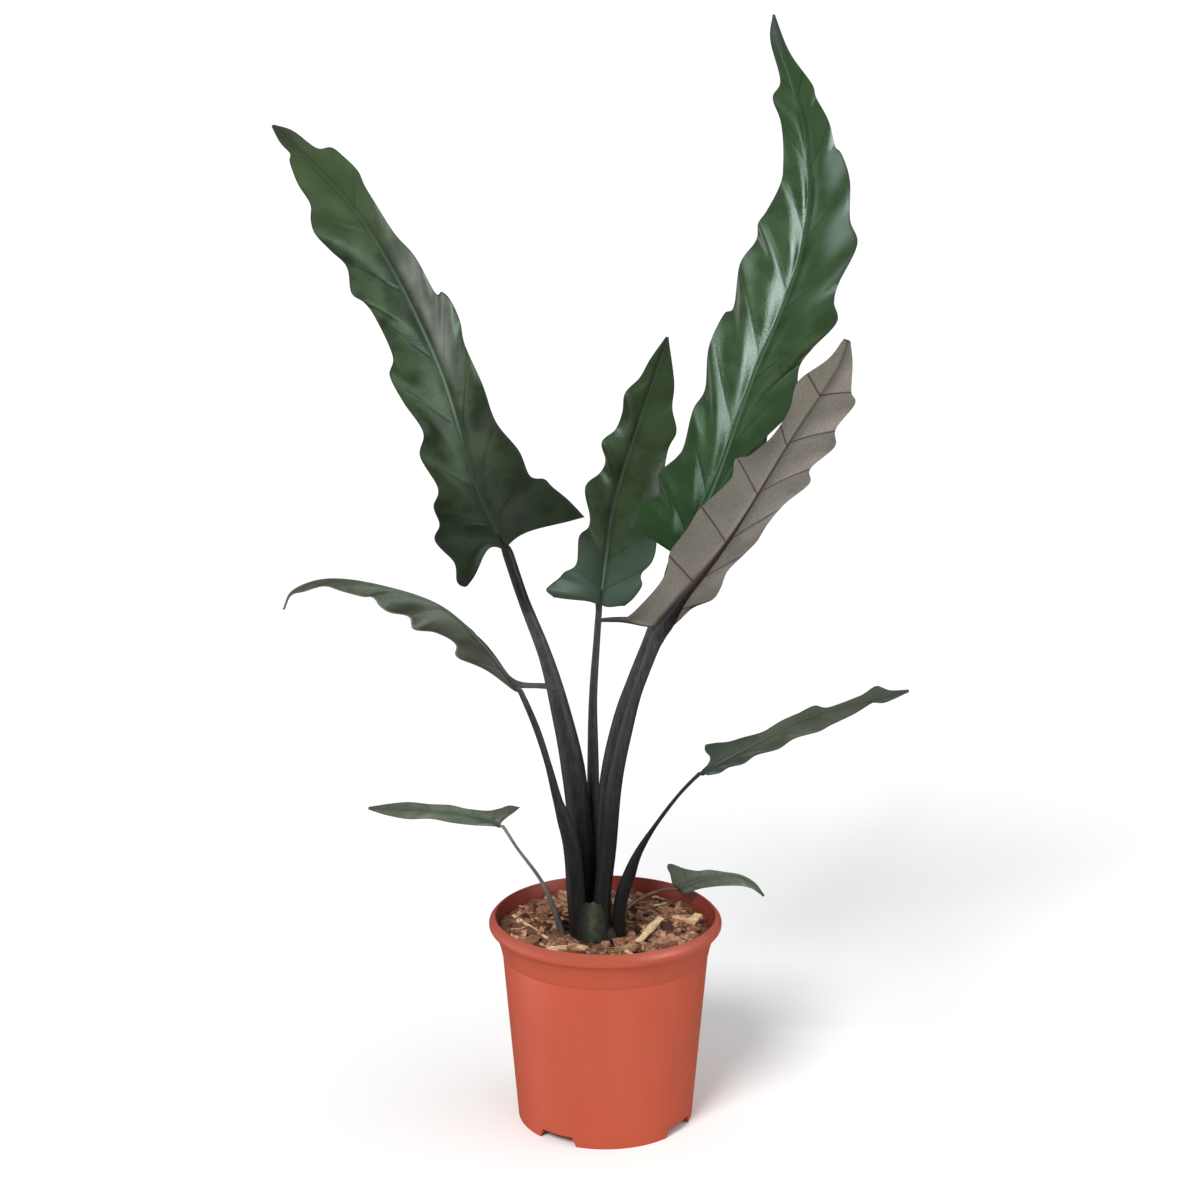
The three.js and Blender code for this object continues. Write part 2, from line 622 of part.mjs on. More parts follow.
// Body of the mix: the filled pot's inside up to its uneven top
function soilBody() {
  const vertices = [[0, 0, SOIL_LEVEL + soilRise(0, 0)]];
  const triangles = [];
  const floor = FLOOR_THICKNESS + FIT_GAP;
  const channelTop = CHANNEL_TOP + FIT_GAP;
  const topRadius = soilRimRadius(SOIL_LEVEL + SOIL_BANK);
  const rings = [];
  for (let ring = 1; ring <= SOIL_RINGS; ring += 1) {
    rings.push([(topRadius * ring) / SOIL_RINGS, null]);
  }
  rings.push([COLLAR_RADIUS - WALL - 0.9, NECK_HEIGHT - 0.3]);
  rings.push([WALL_TOP_RADIUS - WALL - 1.4, COLLAR_LOW - 3]);
  rings.push([BASE_RADIUS - WALL - 0.4, channelTop + 2]);
  rings.push([BASE_RADIUS - WALL - 2, channelTop]);
  rings.push([FLOOR_DISC_RADIUS + 0.2, channelTop]);
  rings.push([FLOOR_DISC_RADIUS - 2, floor]);
  for (const [radius, height] of rings) {
    for (let k = 0; k < SOIL_SIDES; k += 1) {
      const angle = (k / SOIL_SIDES) * 2 * Math.PI;
      const x = Math.cos(angle) * radius;
      const y = Math.sin(angle) * radius;
      const z = height ?? SOIL_LEVEL + soilRise(x, y);
      const atRim = radius === topRadius ? soilRimRadius(z) / topRadius : 1;
      vertices.push([x * atRim, y * atRim, z]);
    }
  }
  const last = vertices.length;
  vertices.push([0, 0, floor]);
  for (let k = 0; k < SOIL_SIDES; k += 1) {
    const next = (k + 1) % SOIL_SIDES;
    triangles.push([0, 1 + k, 1 + next]);
    for (let ring = 0; ring < rings.length - 1; ring += 1) {
      const a = 1 + ring * SOIL_SIDES + k;
      const b = 1 + ring * SOIL_SIDES + next;
      triangles.push([a, a + SOIL_SIDES, b + SOIL_SIDES], [a, b + SOIL_SIDES, b]);
    }
    const foot = 1 + (rings.length - 1) * SOIL_SIDES;
    triangles.push([last, foot + next, foot + k]);
  }
  return toSolid(meshGeometry(vertices, triangles));
}

// One bark chip: a tapered block, turned and tilted, half sunk in the mix
function barkChip(random) {
  const length = 7 + 7 * random();
  const width = 3.5 + 3 * random();
  const height = 2.5 + 2 * random();
  const chip = new THREE.CylinderGeometry(0.42, 0.5, 1, 5);
  chip.scale(width, length, height);
  chip.rotateX((random() - 0.5) * 0.6);
  chip.rotateY((random() - 0.5) * 0.6);
  chip.rotateZ(random() * Math.PI);
  const radius = 18 + 25 * Math.sqrt(random());
  const angle = random() * 2 * Math.PI;
  const x = Math.cos(angle) * radius;
  const y = Math.sin(angle) * radius;
  chip.translate(x, y, SOIL_LEVEL + soilRise(x, y) + 0.6);
  return toSolid(chip);
}

function makeSoil() {
  const random = seededRandom(7);
  let soil = soilBody();
  for (let i = 0; i < CHIP_COUNT; i += 1) {
    soil = soil.add(barkChip(random));
  }
  soil = soil.subtract(crownBody(FIT_GAP));
  for (const leaf of LEAVES) {
    soil = soil.subtract(toSolid(stalkGeometry(leaf, FIT_GAP)));
  }
  addPart("potting_mix", fromSolid(mainPiece(soil)), SOIL_COLOUR, 0.95);
}

makePot();
makeSoil();
makeCrown();
for (const leaf of LEAVES) {
  addPart(`stalk_${leaf.name}`, stalkGeometry(leaf), STALK_COLOUR, 0.45);
  addPart(`blade_${leaf.name}`, bladeGeometry(leaf), leaf.colour, 0.4);
}

export default plant;
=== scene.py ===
import math
import random

import bmesh
import bpy
import numpy as np
from mathutils import Matrix, Vector, noise


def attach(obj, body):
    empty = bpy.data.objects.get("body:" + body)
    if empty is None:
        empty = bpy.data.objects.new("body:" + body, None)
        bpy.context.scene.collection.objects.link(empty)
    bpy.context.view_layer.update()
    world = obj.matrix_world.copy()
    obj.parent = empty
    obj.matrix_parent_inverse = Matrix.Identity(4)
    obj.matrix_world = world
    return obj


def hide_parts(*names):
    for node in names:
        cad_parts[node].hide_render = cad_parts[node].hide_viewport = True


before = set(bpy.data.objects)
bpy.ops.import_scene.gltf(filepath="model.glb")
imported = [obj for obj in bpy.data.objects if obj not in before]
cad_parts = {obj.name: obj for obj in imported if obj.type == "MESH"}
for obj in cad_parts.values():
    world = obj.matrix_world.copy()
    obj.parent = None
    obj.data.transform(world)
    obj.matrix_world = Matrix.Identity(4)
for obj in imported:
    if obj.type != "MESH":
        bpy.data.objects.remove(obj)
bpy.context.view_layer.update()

MM = 0.001
UP = np.array([0.0, 0.0, 1.0])

# Sizes shared with the solids
POT_HEIGHT = 110.6
LIP_RADIUS = 60.6
COLLAR_RADIUS = 54
WALL_TOP_RADIUS = 53.6
BASE_RADIUS = 45.9
WALL = 1.3
COLLAR_LOW = POT_HEIGHT - 20.2
WALL_TOP = COLLAR_LOW - 0.9
NECK_RADIUS = COLLAR_RADIUS - 0.6
NECK_HEIGHT = POT_HEIGHT - 16.3
FLARE_RADIUS = LIP_RADIUS - 4.8
FLARE_HEIGHT = POT_HEIGHT - 5.5
FLOOR_DISC_RADIUS = 30
CHANNEL_HEIGHT = 4.5
FLOOR_THICKNESS = 1.5
NOTCH_COUNT = 4
NOTCH_TURN = -33
NOTCH_HEIGHT = 5
NOTCH_WIDTH = 20.5
DRAIN_RADIUS = 3
DRAIN_RING_RADIUS = 37.5
SOIL_LEVEL = 100
SOIL_BANK = 3.8
SOIL_LEAN = 1.1
CROWN_CENTRE = (-5.5, -5.5)
CROWN_RADIUS = 13.5
STALK_FOOT = 97
CROWN_TOP = 106

# Form of the blades
BLADE_THICKNESS = 0.8
# The lobes' fold passes into the blade's over this distance on either side of the stalk
LOBE_BLEND = 12
# The draw-in beside the stalk ends at this share of the length, and its curve is scaled to peak at 1
SINUS_SHARE = 0.06
SINUS_PEAK = 256 / 27
# How strongly each half bulges, and the neck's distance from the blade, in widths of the midrib
ARCH = 0.28
NECK_LENGTH = 1.75
# Share of each half's columns that forms the midrib, columns in a half, and length of a row
RIB_ZONE = 0.14
HALF_COLUMNS = 26
ROW_LENGTH = 1.35
VEIN_SWEEP = 1.45
GROOVE_WIDTH = 0.8
# Depth of the grooves along the side veins, and height of the quilting between them
RELIEF = {"mature": (0.5, 0.45), "middle": (0.4, 0.6), "glossy": (0.2, 1.8)}
PLAIN_RELIEF = (0.5, 0.5)

# Old leaf sheath at the front of the crown
SHEATH_CENTRE = (-7.2, -19.3)
SHEATH_FOOT = 94
SHEATH_HEIGHT = 29
SHEATH_HALF_WIDTH = 7.6
SHEATH_THICKNESS = 1.2

# Loose pieces of the mix
CHIP_COUNT = 520
CHIP_RING_RADIUS = 51
FIBRE_COUNT = 110
FIBRE_RING_RADIUS = 44

# Heights between which the stalks change their tone
STALK_TONES = (95, 300)


def smoothstep(value, low, high):
    share = np.clip((value - low) / (high - low), 0, 1)
    return share * share * (3 - 2 * share)


def unit(vectors):
    return vectors / np.linalg.norm(vectors, axis=-1, keepdims=True)


class Curve:
    """Smooth line through hand-set points, read by the share of its length."""

    STEPS = 600

    def __init__(self, points):
        self.points = np.array(points, float)
        first, last = 2 * self.points[0] - self.points[1], 2 * self.points[-1] - self.points[-2]
        self.padded = np.vstack([first, self.points, last])
        self.shares = np.linspace(0, 1, self.STEPS + 1)
        steps = np.linalg.norm(np.diff(self.by_point(self.shares), axis=0), axis=1)
        self.reached = np.concatenate([[0], np.cumsum(steps)])
        self.length = self.reached[-1]

    def by_point(self, share):
        """Place at a share of the way counted in points."""
        last = len(self.points) - 1
        place = np.clip(share, 0, 1) * last
        index = np.minimum(place.astype(int), last - 1)
        t = (place - index)[..., None]
        before, start, end, after = (self.padded[index + k] for k in range(4))
        slope_in, slope_out = (end - before) / 2, (after - start) / 2
        cubic = 2 * start - 2 * end + slope_in + slope_out
        square = 3 * end - 3 * start - 2 * slope_in - slope_out
        return cubic * t**3 + square * t**2 + slope_in * t + start

    def at(self, share):
        """Place at a share of the way counted in length."""
        wanted = np.asarray(share, float) * self.length
        return self.by_point(np.interp(wanted, self.reached, self.shares))

    def direction(self, share):
        step = 1e-3
        share = np.asarray(share, float)
        return unit(self.at(np.minimum(share + step, 1)) - self.at(np.maximum(share - step, 0)))


# Leaves. rib: points of the midrib. face: where the upper side looks at the base and the tip. fold: how far
# each half rises above the rib at the lobes, the base and the tip, in degrees. sinus: how far the edge
# between stalk and lobe is drawn in. left, right: the edge from the lobe's tip to the leaf's tip, each point
# as [distance along the rib, distance out, rise of the wave]. neck: the stalk's radius under the blade.
# stalk: points [x, y, z, radius] down to the crown.
LEAVES = [
    {
        "name": "back_left",
        "finish": "mature",
        "rib_width": 2.3,
        "rib": [[-52, 34, 298], [-68, 52, 328], [-90, 84, 390], [-130, 116, 460], [-181, 140, 511]],
        "face": [[-0.1, -0.85, 0.35], [-0.15, -0.65, 0.7]],
        "fold": [22, 22, 24],
        "sinus": [5, 2.2],
        "left": [
            [-11.8, 27.3, -4], [-11.8, 29.5, -4], [-8, 31.8, -4], [2, 28.6, -2], [16, 32.3, 2],
            [24, 26.6, -2], [32, 25.5, 2], [42, 20.3, -3], [58, 24.1, 3], [73, 19.8, -3],
            [91, 25.3, 1], [108, 27.5, 3], [121, 22, -3], [144, 22, 0], [154, 24, 1],
            [161, 28.2, 3], [179, 23.1, -3], [190, 26.8, 0], [202, 30, 3], [212, 27, 2],
            [224, 19.1, -3], [236, 17.5, 1], [249, 11.2, 2], [256, 4.5, -2], [263, 5.2, 1],
            [275, 0.7, 0],
        ],
        "right": [
            [-8.8, 47.6, -5], [1, 44.4, -3], [10, 39.6, 1], [17, 37.4, 2], [26, 31, -1],
            [45, 30.1, -2], [65, 22.2, 2], [88, 20.5, -3], [109, 18.7, 2], [124, 21.6, -3],
            [134, 21.5, 3], [140, 19, 5], [144, 15.6, -2], [165, 14.4, 3], [185, 11.3, -2],
            [210, 12.1, 1], [222, 15.9, -2], [232, 15.2, 0], [240, 13, 3], [248, 8.9, -2],
            [264, 6, 0], [275, 0.7, 0],
        ],
        "neck": 2.9,
        "stalk": [
            [-42.3, 26, 272, 2.9], [-31, 19, 244, 3.6], [-23.2, 12, 217, 5], [-16.7, 6, 187, 6.2],
            [-12.8, 1, 151, 6.1], [-11.5, -1, 118, 5.4], [-10.7, -1, 97, 5],
        ],
    },
    {
        "name": "back_right",
        "finish": "glossy",
        "rib_width": 2.4,
        "rib": [
            [36, 8, 299], [54, 20, 329], [75, 46, 381], [102, 78, 444], [107, 104, 499],
            [90, 132, 569],
        ],
        "face": [[-0.2, -0.85, 0.35], [-0.1, -0.7, 0.6]],
        "fold": [18, 18, 14],
        "sinus": [0, 0],
        "left": [
            [1, 28.5, -3], [8, 29, 0], [16, 28.5, 1], [23, 24, -2], [34, 28, 2], [48, 24, -2],
            [55, 22, 0], [74, 23, 3], [89, 22.3, -3], [108, 26.7, 3], [129, 27.6, -2],
            [135, 24.5, -2], [158, 28.5, 3], [179, 25, -2], [187, 25.1, 2], [197, 22.4, -1],
            [214, 15.7, 2], [228, 14, -2], [252, 12.2, 1], [266, 13.7, 3], [277, 6.3, -2],
            [299, 5.8, 1], [313, 0.7, 0],
        ],
        "right": [
            [2, 30, -3], [14, 28, 1], [28, 30, 2], [44, 25, -2], [60, 24, 1], [72, 20, 3],
            [84, 29, 5], [92, 30, 3], [114, 22, -3], [125, 25.5, 0], [140, 33.7, 4],
            [153, 26.3, -2], [164, 25.4, -2], [181, 30.7, 3], [196, 23.5, -2], [215, 22, 1],
            [229, 18, 1], [235, 15, -2], [247, 13.5, 1], [262, 10, -1], [269, 9.5, 1], [290, 3, 0],
            [313, 0.7, 0],
        ],
        "neck": 2.4,
        "stalk": [
            [28, 7, 274, 2.5], [22, 6, 256, 2.7], [14, 4, 235, 3], [7, 2, 214, 3.4],
            [1, 0, 184, 3.8], [-1, -2, 147, 4.2], [-1, -2, 97, 4.3],
        ],
    },
    {
        "name": "front_right",
        "finish": "mature",
        "rib_width": 2.2,
        "rib": [[26.2, -16.6, 267], [58, -44, 316], [85, -68, 368], [104, -82, 402], [109, -88, 417]],
        "face": [[0.1, 0.9, 0.5], [0.1, 0.85, 0.5]],
        "fold": [12, 12, 10],
        "sinus": [-2, -1.5],
        "left": [
            [0, 5, -1], [10, 7, 0], [20, 8.5, 0], [27, 15, 2], [38, 13, -1], [49, 10, -1],
            [60, 12.5, 1], [69, 14.5, 2], [82, 13, -1], [95, 15.4, 0], [108, 22, 3],
            [119, 16.5, -2], [132, 23, 3], [144, 16.2, -2], [157, 19, 3], [164, 12, -1],
            [178, 4.8, 0], [187, 1, 0],
        ],
        "right": [
            [-14.2, 26.8, -4], [-12, 27.6, -4], [-5.8, 19.2, -3], [0, 15.6, -2], [19, 13.4, 0],
            [30, 14, 2], [41, 18.5, 2], [60, 19.5, -1], [72, 19.5, 1], [82, 18, -1], [97, 14.5, 0],
            [105, 16.5, 3], [113, 13, -2], [127, 9, -3], [142, 8, 0], [155, 11, 3], [173, 5.8, 0],
            [187, 1.8, 0],
        ],
        "neck": 4.1,
        "stalk": [
            [22.6, -16, 254, 3.1], [15.9, -16, 235, 2.8], [11.6, -16, 219, 3.1],
            [5, -15, 188, 3.8], [1.4, -14, 151, 4.2], [-2, -13, 120, 4.3], [-2.6, -13, 97, 4.6],
        ],
    },
    {
        "name": "back_middle",
        "finish": "middle",
        "rib_width": 1.8,
        "rib": [[-3, 36, 267], [0, 42, 290], [5, 50, 320], [18, 64, 360], [33, 80, 402]],
        "face": [[0.45, -0.8, 0.4], [0.4, -0.75, 0.55]],
        "fold": [18, 18, 14],
        "sinus": [0.8, -0.8],
        "left": [
            [0.3, 31, -3], [3.5, 37, -3], [7, 33.8, -3], [11, 29, -2], [14, 27.2, 0],
            [19, 20.7, 2], [33, 21.3, 2], [39, 13.4, -2], [45, 14.3, -1], [56, 22.2, 3],
            [66, 13.2, -2], [73, 12, -2], [80, 19.5, 3], [90, 12.3, -1], [100, 11.5, -1],
            [109, 14.5, 2], [121, 7.7, -2], [132, 5.9, 0], [147, 1.2, 0],
        ],
        "right": [
            [1.2, 14, -2], [6, 18, -1], [13, 21, 0], [19, 19.4, 1], [31, 24.8, 2], [63, 23.5, -2],
            [89, 19.4, -1], [100, 19.6, 2], [112, 14.6, -1], [125, 10.6, 1], [145, 1.4, 0],
            [147, 0.7, 0],
        ],
        "neck": 1.7,
        "stalk": [
            [-4.5, 31, 249, 1.8], [-6.4, 22, 220, 2.2], [-6.4, 15, 188, 3], [-6, 9, 149, 3.5],
            [-5, 6, 118, 3.5], [-5, 5, 97, 3.5],
        ],
    },
    {
        "name": "front_left",
        "finish": "curled",
        "rib_width": 1.5,
        "rib": [
            [-43.3, -29, 238.9], [-61, -38, 265], [-80, -46, 285], [-107, -56, 297],
            [-131, -64, 302], [-147, -70, 298], [-152, -72, 289],
        ],
        "face": [[-0.35, -0.45, 0.85], [-0.35, -0.45, 0.85]],
        "fold": [-20, -54, -44],
        "sinus": [0, 0],
        "left": [
            [0, 1.9, 0], [10, 4.9, 0], [18, 7.5, 0], [35, 15, 2], [40, 8.5, -2], [55, 12, 0],
            [71, 17.5, 2], [75, 9.2, -2], [86, 11.5, 0], [92, 10.6, 1], [96, 5.5, -1], [102, 7, 0],
            [113, 6.5, 1], [121, 2.4, -1], [132, 4, 1], [140, 0.9, 0], [150, 0.4, 0],
        ],
        "right": [
            [-30, 31, 0], [-21, 27, 0], [-6, 9, 0], [1, 3.6, 0], [10, 5.2, 0], [22, 9, 1],
            [35, 14, 2], [44, 11, -1], [58, 14, 1], [72, 15, 2], [80, 11, -2], [92, 11, 1],
            [104, 7, -1], [116, 7, 1], [130, 3.5, 0], [140, 0.9, 0], [150, 0.4, 0],
        ],
        "neck": 1.4,
        "stalk": [
            [-34.5, -26, 218, 1.7], [-28.9, -24, 199, 1.7], [-24.2, -21, 179, 2.4],
            [-21, -19, 168, 3.6], [-17, -17, 151, 4.4], [-15, -14, 123, 4.7], [-13, -12, 97, 4.6],
        ],
    },
    {
        "name": "low_left",
        "finish": "pale",
        "rib_width": 1,
        "rib": [
            [-54, -5, 160], [-60, -6, 163], [-70, -7.3, 166], [-85, -9, 168.5], [-105, -10, 170.5],
            [-121, -10, 171],
        ],
        "face": [[0, -0.47, 1], [0, -0.47, 1]],
        "fold": [3, 3, 3],
        "sinus": [0, 0.6],
        "left": [
            [1, 1.3, 0], [8, 4.4, 0], [16, 7, 0.3], [26, 7, 0], [37, 5.2, -0.3], [48, 7.5, 0.3],
            [59, 5, 0], [69, 0.7, 0],
        ],
        "right": [
            [-9, 17.8, 0], [-3, 16, 0], [2, 11.2, 0], [8, 6.5, 0], [18, 5, -0.3], [27, 5.5, 0.3],
            [38, 5, 0], [48, 5, 0.3], [58, 3.5, 0], [69, 0.7, 0],
        ],
        "neck": 0.9,
        "stalk": [
            [-45.5, -5, 148, 0.8], [-33.4, -6, 131, 1], [-26.8, -7, 116, 1.6], [-20, -8, 94, 2.1],
        ],
    },
    {
        "name": "low_right",
        "finish": "shaded",
        "rib_width": 1.2,
        "rib": [[48, -30, 196], [67, -34, 208], [96, -38, 225], [120, -42, 234], [148, -44, 242]],
        "face": [[0, -0.47, 1], [0, -0.47, 1]],
        "fold": [3, 3, 3],
        "sinus": [5, 1],
        "left": [
            [5, 17, 0], [11, 14.3, 0], [18, 10.5, 0], [26, 8, 0.3], [37, 5, 0], [47, 5.5, 0.3],
            [58, 5.4, 0.3], [65, 6.6, 0.3], [72, 3.3, -0.5], [90, 5.2, 0], [97, 8.4, 0.3],
            [103, 3.5, 0], [112, 0.7, 0],
        ],
        "right": [
            [3, 4, 0], [10, 7.1, 0], [15, 6.1, -0.3], [23, 9.6, 0.3], [30, 7.5, -0.3],
            [42, 12.1, 0.3], [51, 10, -0.3], [65, 13.4, 0.3], [72, 10.9, 0], [84, 6.4, -0.3],
            [94, 1.4, -0.5], [99, 4.9, 0.5], [112, 0.7, 0],
        ],
        "neck": 1,
        "stalk": [
            [36.2, -27, 183, 0.9], [24.6, -22, 165, 1.1], [16.7, -18, 150, 2.1],
            [12.2, -15, 137, 3.3], [7.7, -12, 120, 3.5], [6.5, -8, 97, 3.2],
        ],
    },
    {
        "name": "lowest_right",
        "finish": "pale",
        "rib_width": 0.9,
        "rib": [[39.4, 28, 113.8], [53, 31, 118], [69, 33, 119], [79, 33, 115], [85, 32, 108]],
        "face": [[0, -0.47, 1], [0.3, -0.4, 0.9]],
        "fold": [3, 3, 3],
        "sinus": [-1.8, 0],
        "left": [
            [-1, 15.5, 0], [0, 18, 0], [3, 17, 0], [8, 10.5, 0], [13, 6.5, 0], [18, 5.5, 0.3],
            [27, 2.7, 0], [34, 1.5, 0.3], [50, 0.7, 0],
        ],
        "right": [[1, 5, 0], [9, 5.6, 0], [18, 7, 0.3], [32, 7.3, 0], [43, 3.8, 0], [50, 0.7, 0]],
        "neck": 0.9,
        "stalk": [[29, 22, 115, 0.9], [18, 14, 113, 1], [9, 6, 108, 1.3], [6, 1, 94, 1.6]],
    },
]


# Where the side veins leave the midrib on each half, as shares of its length
SMALL_LEAF_VEINS = {"left": [0.1, 0.24, 0.4, 0.56, 0.72, 0.86], "right": [0.08, 0.22, 0.38, 0.54, 0.7, 0.85]}
VEINS = {
    "back_left": {
        "left": [0.05, 0.14, 0.27, 0.41, 0.56, 0.69, 0.8, 0.9],
        "right": [0.05, 0.14, 0.26, 0.38, 0.5, 0.63, 0.76, 0.88],
    },
    "back_right": {
        "left": [0.04, 0.11, 0.235, 0.365, 0.485, 0.6, 0.72, 0.85],
        "right": [0.1, 0.21, 0.33, 0.46, 0.59, 0.72, 0.85],
    },
    "front_right": {
        "left": [0.08, 0.22, 0.37, 0.53, 0.69, 0.84],
        "right": [0.19, 0.35, 0.52, 0.68, 0.84],
    },
    "back_middle": {
        "left": [0.06, 0.16, 0.28, 0.42, 0.57, 0.73, 0.87],
        "right": [0.06, 0.17, 0.3, 0.44, 0.6, 0.75, 0.88],
    },
}


# Materials

CUTICLE_IOR = 1.45
UNDERSIDE_ROUGHNESS = 0.55


def linear(hex_colour):
    """Linear colour of an sRGB hex value."""
    channels = [int(hex_colour[i : i + 2], 16) / 255 for i in (1, 3, 5)]
    return [c / 12.92 if c <= 0.04045 else ((c + 0.055) / 1.055) ** 2.4 for c in channels] + [1.0]


def per_metre(size_mm):
    """Scale of a procedural pattern whose cells have this size."""
    return 1 / (size_mm * MM)


def add(tree, kind, inputs=None, **settings):
    """Adds a node to a tree; each input is another node's socket or a plain value."""
    new = tree.nodes.new(kind)
    for name, value in settings.items():
        setattr(new, name, value)
    for name, value in (inputs or {}).items():
        socket = new.inputs[name]
        if isinstance(value, bpy.types.NodeSocket):
            tree.links.new(value, socket)
        else:
            socket.default_value = value
    return new


def set_tones(ramp, tones):
    """Puts the colours of a colour ramp at their levels."""
    stops = ramp.color_ramp.elements
    stops.remove(stops[1])
    for i, (level, tone) in enumerate(tones):
        stop = stops.new(level) if i else stops[0]
        stop.position, stop.color = level, linear(tone)


def blank_material(name):
    """Empty material, its tree, and the place on the object that its patterns follow."""
    material = bpy.data.materials.new(name)
    material.use_nodes = True
    tree = material.node_tree
    tree.nodes.clear()
    return material, tree, add(tree, "ShaderNodeTexCoord").outputs["Object"]


def finish_material(material, shader_inputs):
    """Ends a material's tree with its shader."""
    tree = material.node_tree
    shader = add(tree, "ShaderNodeBsdfPrincipled", shader_inputs)
    add(tree, "ShaderNodeOutputMaterial", {"Surface": shader.outputs["BSDF"]})
    return material


def ramps(tree, *steps):
    """Product of smooth ramps. Each is a value, the two levels of it that the ramp runs between, and the
    ramp's height at each."""
    product = None
    for value, start, end, low, high in steps:
        ends = {"From Min": start, "From Max": end, "To Min": low, "To Max": high}
        ramp = add(tree, "ShaderNodeMapRange", {"Value": value, **ends}, interpolation_type="SMOOTHSTEP")
        if product is None:
            product = ramp.outputs[0]
        else:
            both = add(tree, "ShaderNodeMath", {0: product, 1: ramp.outputs[0]}, operation="MULTIPLY")
            product = both.outputs[0]
    return product


def coats(tree, ground, look, layers):
    """A ground colour with a look's other colours laid over it, each as far as its ramps show it."""
    for key, *steps in layers:
        inputs = {"Factor": ramps(tree, *steps), "A": ground, "B": linear(look[key])}
        ground = add(tree, "ShaderNodeMix", inputs, data_type="RGBA").outputs["Result"]
    return ground


def shaded(tree, colour, pattern, low, high, darkest, brightest):
    """A colour that a pattern darkens and brightens, between two of its levels."""
    ends = {"From Min": low, "From Max": high, "To Min": darkest, "To Max": brightest}
    shade = add(tree, "ShaderNodeMapRange", {"Value": pattern, **ends}).outputs[0]
    return add(tree, "ShaderNodeVectorMath", {0: colour, "Scale": shade}, operation="SCALE").outputs[0]


